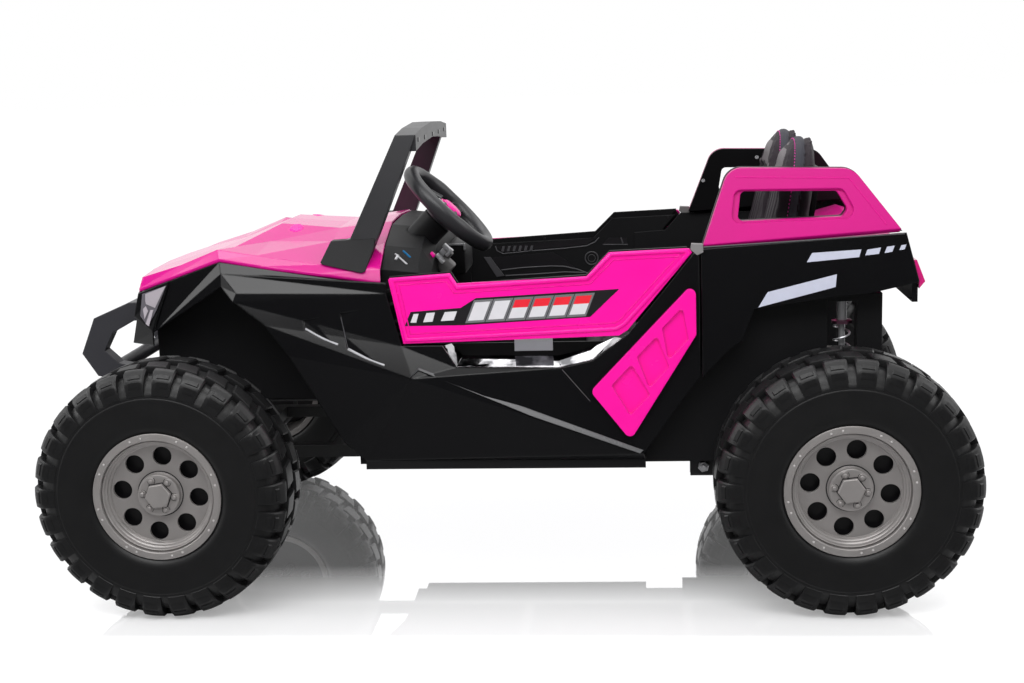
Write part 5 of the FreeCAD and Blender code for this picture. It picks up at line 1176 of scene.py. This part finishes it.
def tyre_mesh():
    vertices = []
    faces = []
    tyre_carcass(vertices, faces)
    for pitch in range(lug_count):
        for side in (1, -1):
            shift = pitch + (0.5 if side < 0 else 0.0)
            shoulder = ((-0.42, 0.40), (0.34, 0.44), (0.31, 1.0), (-0.38, 1.0))
            tread_block(vertices, faces, shoulder, side, shift, steps=(5, 10))
            middle = ((0.10, 0.06), (0.86, 0.10), (0.98, 0.40), (0.22, 0.36))
            tread_block(vertices, faces, middle, side, shift)
            for low, high in ((0.66, 0.76), (0.84, 0.92)):
                pad = ((-0.26, low), (0.24, low), (0.24, high), (-0.26, high))
                tread_block(vertices, faces, pad, side, shift, top=1.16, steps=(2, 2), chamfer=0.12)
    return vertices, faces


def rubber():
    finish = Finish("moulded_rubber", Specular_IOR_Level=0.42)
    cloud = finish.noise(30.0, 5.0, 0.6)
    dust = finish.noise(220.0, 3.0, 0.6)
    finish.colour(finish.blend(cloud, rgb(0.0050, 0.0050, 0.0054), rgb(0.0092, 0.0091, 0.0098)))
    finish.rough(0.32 + dust * 0.22)
    finish.relief(dust, 0.00010)
    return finish.material


tyre_rubber = rubber()
tyre_vertices, tyre_faces = tyre_mesh()
for tyre_name in tyre_nodes:
    low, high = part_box(tyre_name)
    centre = [(a + b) / 2 for a, b in zip(low, high)]
    flip = 1 if centre[1] > 0 else -1
    placed = [(centre[0] + x, centre[1] + flip * y, centre[2] + z) for x, y, z in tyre_vertices]
    tyre = mesh_piece("tread_" + tyre_name, placed, tyre_faces, smooth=True)
    tyre.data.set_sharp_from_angle(angle=math.radians(32))
    tyre.data.materials.append(tyre_rubber)
    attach(tyre, "wheel_" + tyre_name[5:])
    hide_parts(tyre_name)


# Seats
# Two bucket seats of foam under black leatherette: raised bolsters round a fluted middle, a paler panel
# along each side, and one row of magenta thread where the two leathers meet.
seat_names = ("seat_cushion_left", "seat_cushion_right", "seat_back_left", "seat_back_right")
foam_voxel = 0.005
foam_pressure = 4.0
foam_steps = 20
cushion_swell = 0.007
back_swell = 0.005
flute_pitch = 0.034
flute_depth = 0.0040
seam_width = 0.0045
rear_groove = 0.0145
rear_groove_depth = 0.0060
rear_groove_width = 0.0032
top_groove_loss = 0.0028
rear_lobe_drop = 0.0030
front_pull = 0.0115
front_bulge = 0.0075
seam_depth = 0.0055
thread_groove_depth = 0.0014
back_bolster_share = 0.56
back_seam_share = 0.62
cushion_bolster_share = 0.60
cushion_seam_share = 0.36
cushion_seam_height_share = 0.55
edge_blend = 0.006
thread_line = 0.0305
highlight_band_width = 0.0010
highlight_band_reach = 0.080
edge_step = 0.006
thread_pitch = 0.0062
thread_length = 0.0042
thread_radius = 0.0008
stitch_lift = 0.0002


def swollen_foam(node, start_share, swell):
    """A copy of a seat's solid, blown up by cloth pressure as stuffing does, with its travel capped."""
    source = nodes[node]
    piece = bpy.data.objects.new("foam_" + node, source.data.copy())
    scene.collection.objects.link(piece)
    low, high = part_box(node)
    centre = (low + high) / 2
    for vertex in piece.data.vertices:
        vertex.co = centre + (vertex.co - centre) * start_share
    piece.data.materials.clear()
    bpy.context.view_layer.objects.active = piece
    for other in bpy.context.selected_objects:
        other.select_set(False)
    piece.select_set(True)
    remesh = piece.modifiers.new("voxels", "REMESH")
    remesh.mode = "VOXEL"
    remesh.voxel_size = foam_voxel
    bpy.ops.object.modifier_apply(modifier=remesh.name)
    before = [v.co.copy() for v in piece.data.vertices]
    cloth = piece.modifiers.new("cover", "CLOTH")
    cloth.settings.use_pressure = True
    cloth.settings.uniform_pressure_force = foam_pressure
    cloth.settings.effector_weights.gravity = 0
    cloth.settings.quality = 4
    cloth.collision_settings.use_collision = False
    for step in range(1, foam_steps + 1):
        scene.frame_set(step)
    bpy.ops.object.modifier_apply(modifier=cloth.name)
    scene.frame_set(1)
    for vertex, start in zip(piece.data.vertices, before):
        travel = vertex.co - start
        if travel.length > swell:
            vertex.co = start + travel.normalized() * swell
        for axis in range(3):
            vertex.co[axis] = min(max(vertex.co[axis], low[axis] - 0.004), high[axis] + 0.004)
    softened = piece.modifiers.new("even", "SMOOTH")
    softened.iterations = 4
    bpy.ops.object.modifier_apply(modifier=softened.name)
    return piece


def dip(distance, width):
    return math.exp(-(distance / width) ** 2)


def quilted(piece, depth_at):
    """Presses seams into the cover: each point goes inwards by depth_at of its place and normal."""
    smooth = piece.modifiers.new("fine", "SUBSURF")
    smooth.levels = 1
    bpy.context.view_layer.objects.active = piece
    bpy.ops.object.modifier_apply(modifier=smooth.name)
    normals = [v.normal.copy() for v in piece.data.vertices]
    for vertex, normal in zip(piece.data.vertices, normals):
        vertex.co -= normal * depth_at(vertex.co, normal)
    piece.data.polygons.foreach_set("use_smooth", [True] * len(piece.data.polygons))
    return piece


def leather_paint(piece, materials, choose):
    for material in materials:
        piece.data.materials.append(material)
    for face in piece.data.polygons:
        face.material_index = choose(face.center, face.normal)


def leatherette(name, dark, light, low, high):
    """Embossed vinyl leather: fine pebbles in a real relief, cloudy shine, and paler cloudy patches."""
    finish = Finish(name, Specular_IOR_Level=0.12)
    pebble = finish.node("ShaderNodeTexVoronoi", {"feature": "F1"},
                         {"Vector": finish.place(), "Scale": 520.0})
    cloud = finish.noise(34.0, 5.0, 0.62)
    finish.colour(finish.blend(cloud, rgb(*dark), rgb(*light)))
    finish.rough(low + cloud * (high - low))
    finish.relief(pebble, 0.00022)
    return finish.material


black_leather = leatherette("black_leatherette", (0.018, 0.013, 0.017), (0.032, 0.025, 0.031), 0.50, 0.66)
slate_leather = leatherette("slate_leatherette", (0.034, 0.034, 0.043), (0.050, 0.050, 0.062), 0.46, 0.60)
# A pale grey band on the upper front edge of each back, where the leather catches the light: painted
# highlight.
front_edge_highlight = leatherette("grey_piping", (0.115, 0.102, 0.110), (0.165, 0.148, 0.157), 0.42, 0.56)
thread_finish = Finish("magenta_thread", Roughness=0.55)
twist = thread_finish.noise(2600.0, 2.0)
thread_finish.colour(thread_finish.blend(twist, rgb(0.42, 0.010, 0.20), rgb(0.80, 0.030, 0.42)))
thread_finish.relief(twist, 0.0001)


def thread_row(name, piece, casts):
    """Stitches laid on the cover. Each cast is an outer point and the direction in which the cover lies."""
    surface = bmesh.new()
    surface.from_mesh(piece.data)
    tree = BVHTree.FromBMesh(surface)
    track = []
    for start, towards in casts:
        place, normal, _, _ = tree.ray_cast(start, towards)
        if place is not None:
            track.append((place, normal))
    surface.free()
    vertices = []
    faces = []
    walked = 0.0
    for (a, normal), (b, _) in zip(track, track[1:]):
        length = (b - a).length
        if length == 0 or length > thread_pitch * 3:
            continue
        run = (b - a).normalized()
        side = run.cross(normal).normalized() * thread_radius
        while walked < length:
            middle = a + run * walked + normal * stitch_lift
            k = len(vertices)
            half = run * (thread_length / 2)
            lift = normal * thread_radius
            for share, out in ((1.0, -lift), (0.6, side), (0.6, -side), (0.5, lift)):
                vertices += [middle - half * share + out, middle + half * share + out]
            faces += [(k, k + 2, k + 3, k + 1), (k + 2, k + 6, k + 7, k + 3), (k + 6, k + 4, k + 5, k + 7),
                      (k + 4, k, k + 1, k + 5), (k, k + 4, k + 6, k + 2), (k + 1, k + 3, k + 7, k + 5)]
            walked += thread_pitch
        walked -= length
    row = mesh_piece(name, vertices, faces, smooth=True)
    row.data.materials.append(thread_finish.material)
    return row


for seat_name in seat_names:
    low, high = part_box(seat_name)
    middle_y = (low.y + high.y) / 2
    half_width = (high.y - low.y) / 2
    is_back = "back" in seat_name
    foam = swollen_foam(seat_name, 1.0 if is_back else 0.985, back_swell if is_back else cushion_swell)
    casts = []
    if is_back:
        foot_rear = min(v.co.x for v in nodes[seat_name].data.vertices if v.co.z < low.z + 0.01)
        lean = (low.x - foot_rear) / (high.z - low.z)

        def from_middle(place):
            return math.hypot(place.y - middle_y, max(0.0, place.z - high.z + half_width))

        def back_depth(place, normal):
            ahead_of_rear = place.x - foot_rear - lean * (place.z - low.z)
            aside = abs(place.y - middle_y)
            depth = 0.0
            edgeways = 1 - abs(normal.x)
            on_top = max(0.0, normal.z)
            groove = rear_groove_depth - top_groove_loss * on_top
            depth += groove * dip(ahead_of_rear - rear_groove, rear_groove_width) * edgeways
            depth += thread_groove_depth * dip(ahead_of_rear - thread_line, 0.0020) * edgeways * (1 - on_top)
            if ahead_of_rear < rear_groove:
                depth += rear_lobe_drop * on_top
            below = high.z - place.z
            pull = front_pull * min(1.0, below / 0.020, max(0.0, (0.20 - below) / 0.10))
            depth += (pull - front_bulge * dip(below - 0.026, 0.017)) * max(0.0, normal.x)
            if normal.x > 0.2:
                bolster = half_width * back_bolster_share
                top_seam = high.z - half_width * back_seam_share
                inside = min(1.0, max(0.0, (bolster - aside) / edge_blend))
                under = min(1.0, max(0.0, (top_seam - place.z) / edge_blend))
                depth += seam_depth * dip(aside - bolster, seam_width) * (place.z < top_seam + 0.004)
                depth += seam_depth * dip(place.z - top_seam, seam_width) * (aside < bolster)
                flute = abs(math.sin(math.pi * (aside / flute_pitch + 0.5)))
                depth += flute_depth * dip(flute, 0.35) * inside * under
            return depth

        quilted(foam, back_depth)

        front_edge = {}
        for vertex in foam.data.vertices:
            level = round(vertex.co.z / edge_step)
            reach = vertex.co.x - foot_rear - lean * (vertex.co.z - low.z)
            front_edge[level] = max(front_edge.get(level, 0.0), reach)
        front_edge = {level: sum(front_edge.get(level + step, edge) for step in range(-2, 3)) / 5
                      for level, edge in front_edge.items()}

        def back_leather(place, normal):
            ahead_of_rear = place.x - foot_rear - lean * (place.z - low.z)
            level = math.floor(place.z / edge_step)
            share = place.z / edge_step - level
            edge = front_edge.get(level, 0.0) * (1 - share) + front_edge.get(level + 1, 0.0) * share
            # The pale band on the upper front edge is a painted highlight.
            at_front = ahead_of_rear > max(edge - highlight_band_width, thread_line)
            if at_front and high.z - place.z < highlight_band_reach and from_middle(place) > half_width * 0.45:
                return 2
            return 1 if rear_groove < ahead_of_rear < thread_line and abs(normal.x) < 0.8 else 0

        leather_paint(foam, (black_leather, slate_leather, front_edge_highlight), back_leather)
        centre_z = high.z - half_width
        turns = 60
        climb = [low.z + 0.01 + (centre_z - low.z - 0.01) * k / turns for k in range(turns)]

        def cast(across, z, towards, outer_z):
            x = foot_rear + lean * (z - low.z) + thread_line + 0.0012
            return Vector((x, middle_y + half_width * across, outer_z)), Vector(towards)

        casts = [cast(-1.6, z, (0, 1, 0), z) for z in climb]
        for k in range(turns + 1):
            angle = math.pi * k / turns
            aside = math.cos(angle)
            rise = math.sin(angle) * half_width
            inwards = (0, aside, -math.sin(angle))
            casts.append(cast(-aside * 1.7, centre_z + rise, inwards, centre_z + rise * 1.7))
        casts += [cast(1.6, z, (0, -1, 0), z) for z in reversed(climb)]
    else:

        def cushion_depth(place, normal):
            aside = abs(place.y - middle_y)
            bolster = half_width * cushion_bolster_share
            front = high.x - half_width * cushion_seam_share
            depth = 0.0
            if normal.z > 0.2:
                inside = min(1.0, max(0.0, (bolster - aside) / edge_blend))
                behind = min(1.0, max(0.0, (front - place.x) / edge_blend))
                depth += seam_depth * dip(aside - bolster, seam_width) * (place.x < front + 0.004)
                depth += seam_depth * dip(place.x - front, seam_width) * (aside < bolster)
                flute = abs(math.sin(math.pi * (place.x - low.x) / flute_pitch))
                depth += flute_depth * dip(flute, 0.35) * inside * behind
            else:
                seam_height = (high.z - low.z) * cushion_seam_height_share
                depth += 0.0030 * dip(place.z - low.z - seam_height, 0.003) * (1 - abs(normal.z))
            return depth

        quilted(foam, cushion_depth)
        leather_paint(foam, (black_leather, slate_leather), lambda place, normal: 0)
        seam_z = low.z + (high.z - low.z) * cushion_seam_height_share + 0.004
        reach = half_width * 1.7
        for k in range(181):
            angle = 2 * math.pi * k / 180
            centre = Vector(((low.x + high.x) / 2, middle_y, seam_z))
            towards = Vector((math.cos(angle), math.sin(angle), 0))
            casts.append((centre + towards * reach, -towards))
    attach(foam, "chassis")
    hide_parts(seat_name)
    threads = thread_row("thread_" + seat_name, foam, casts)
    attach(threads, "chassis")
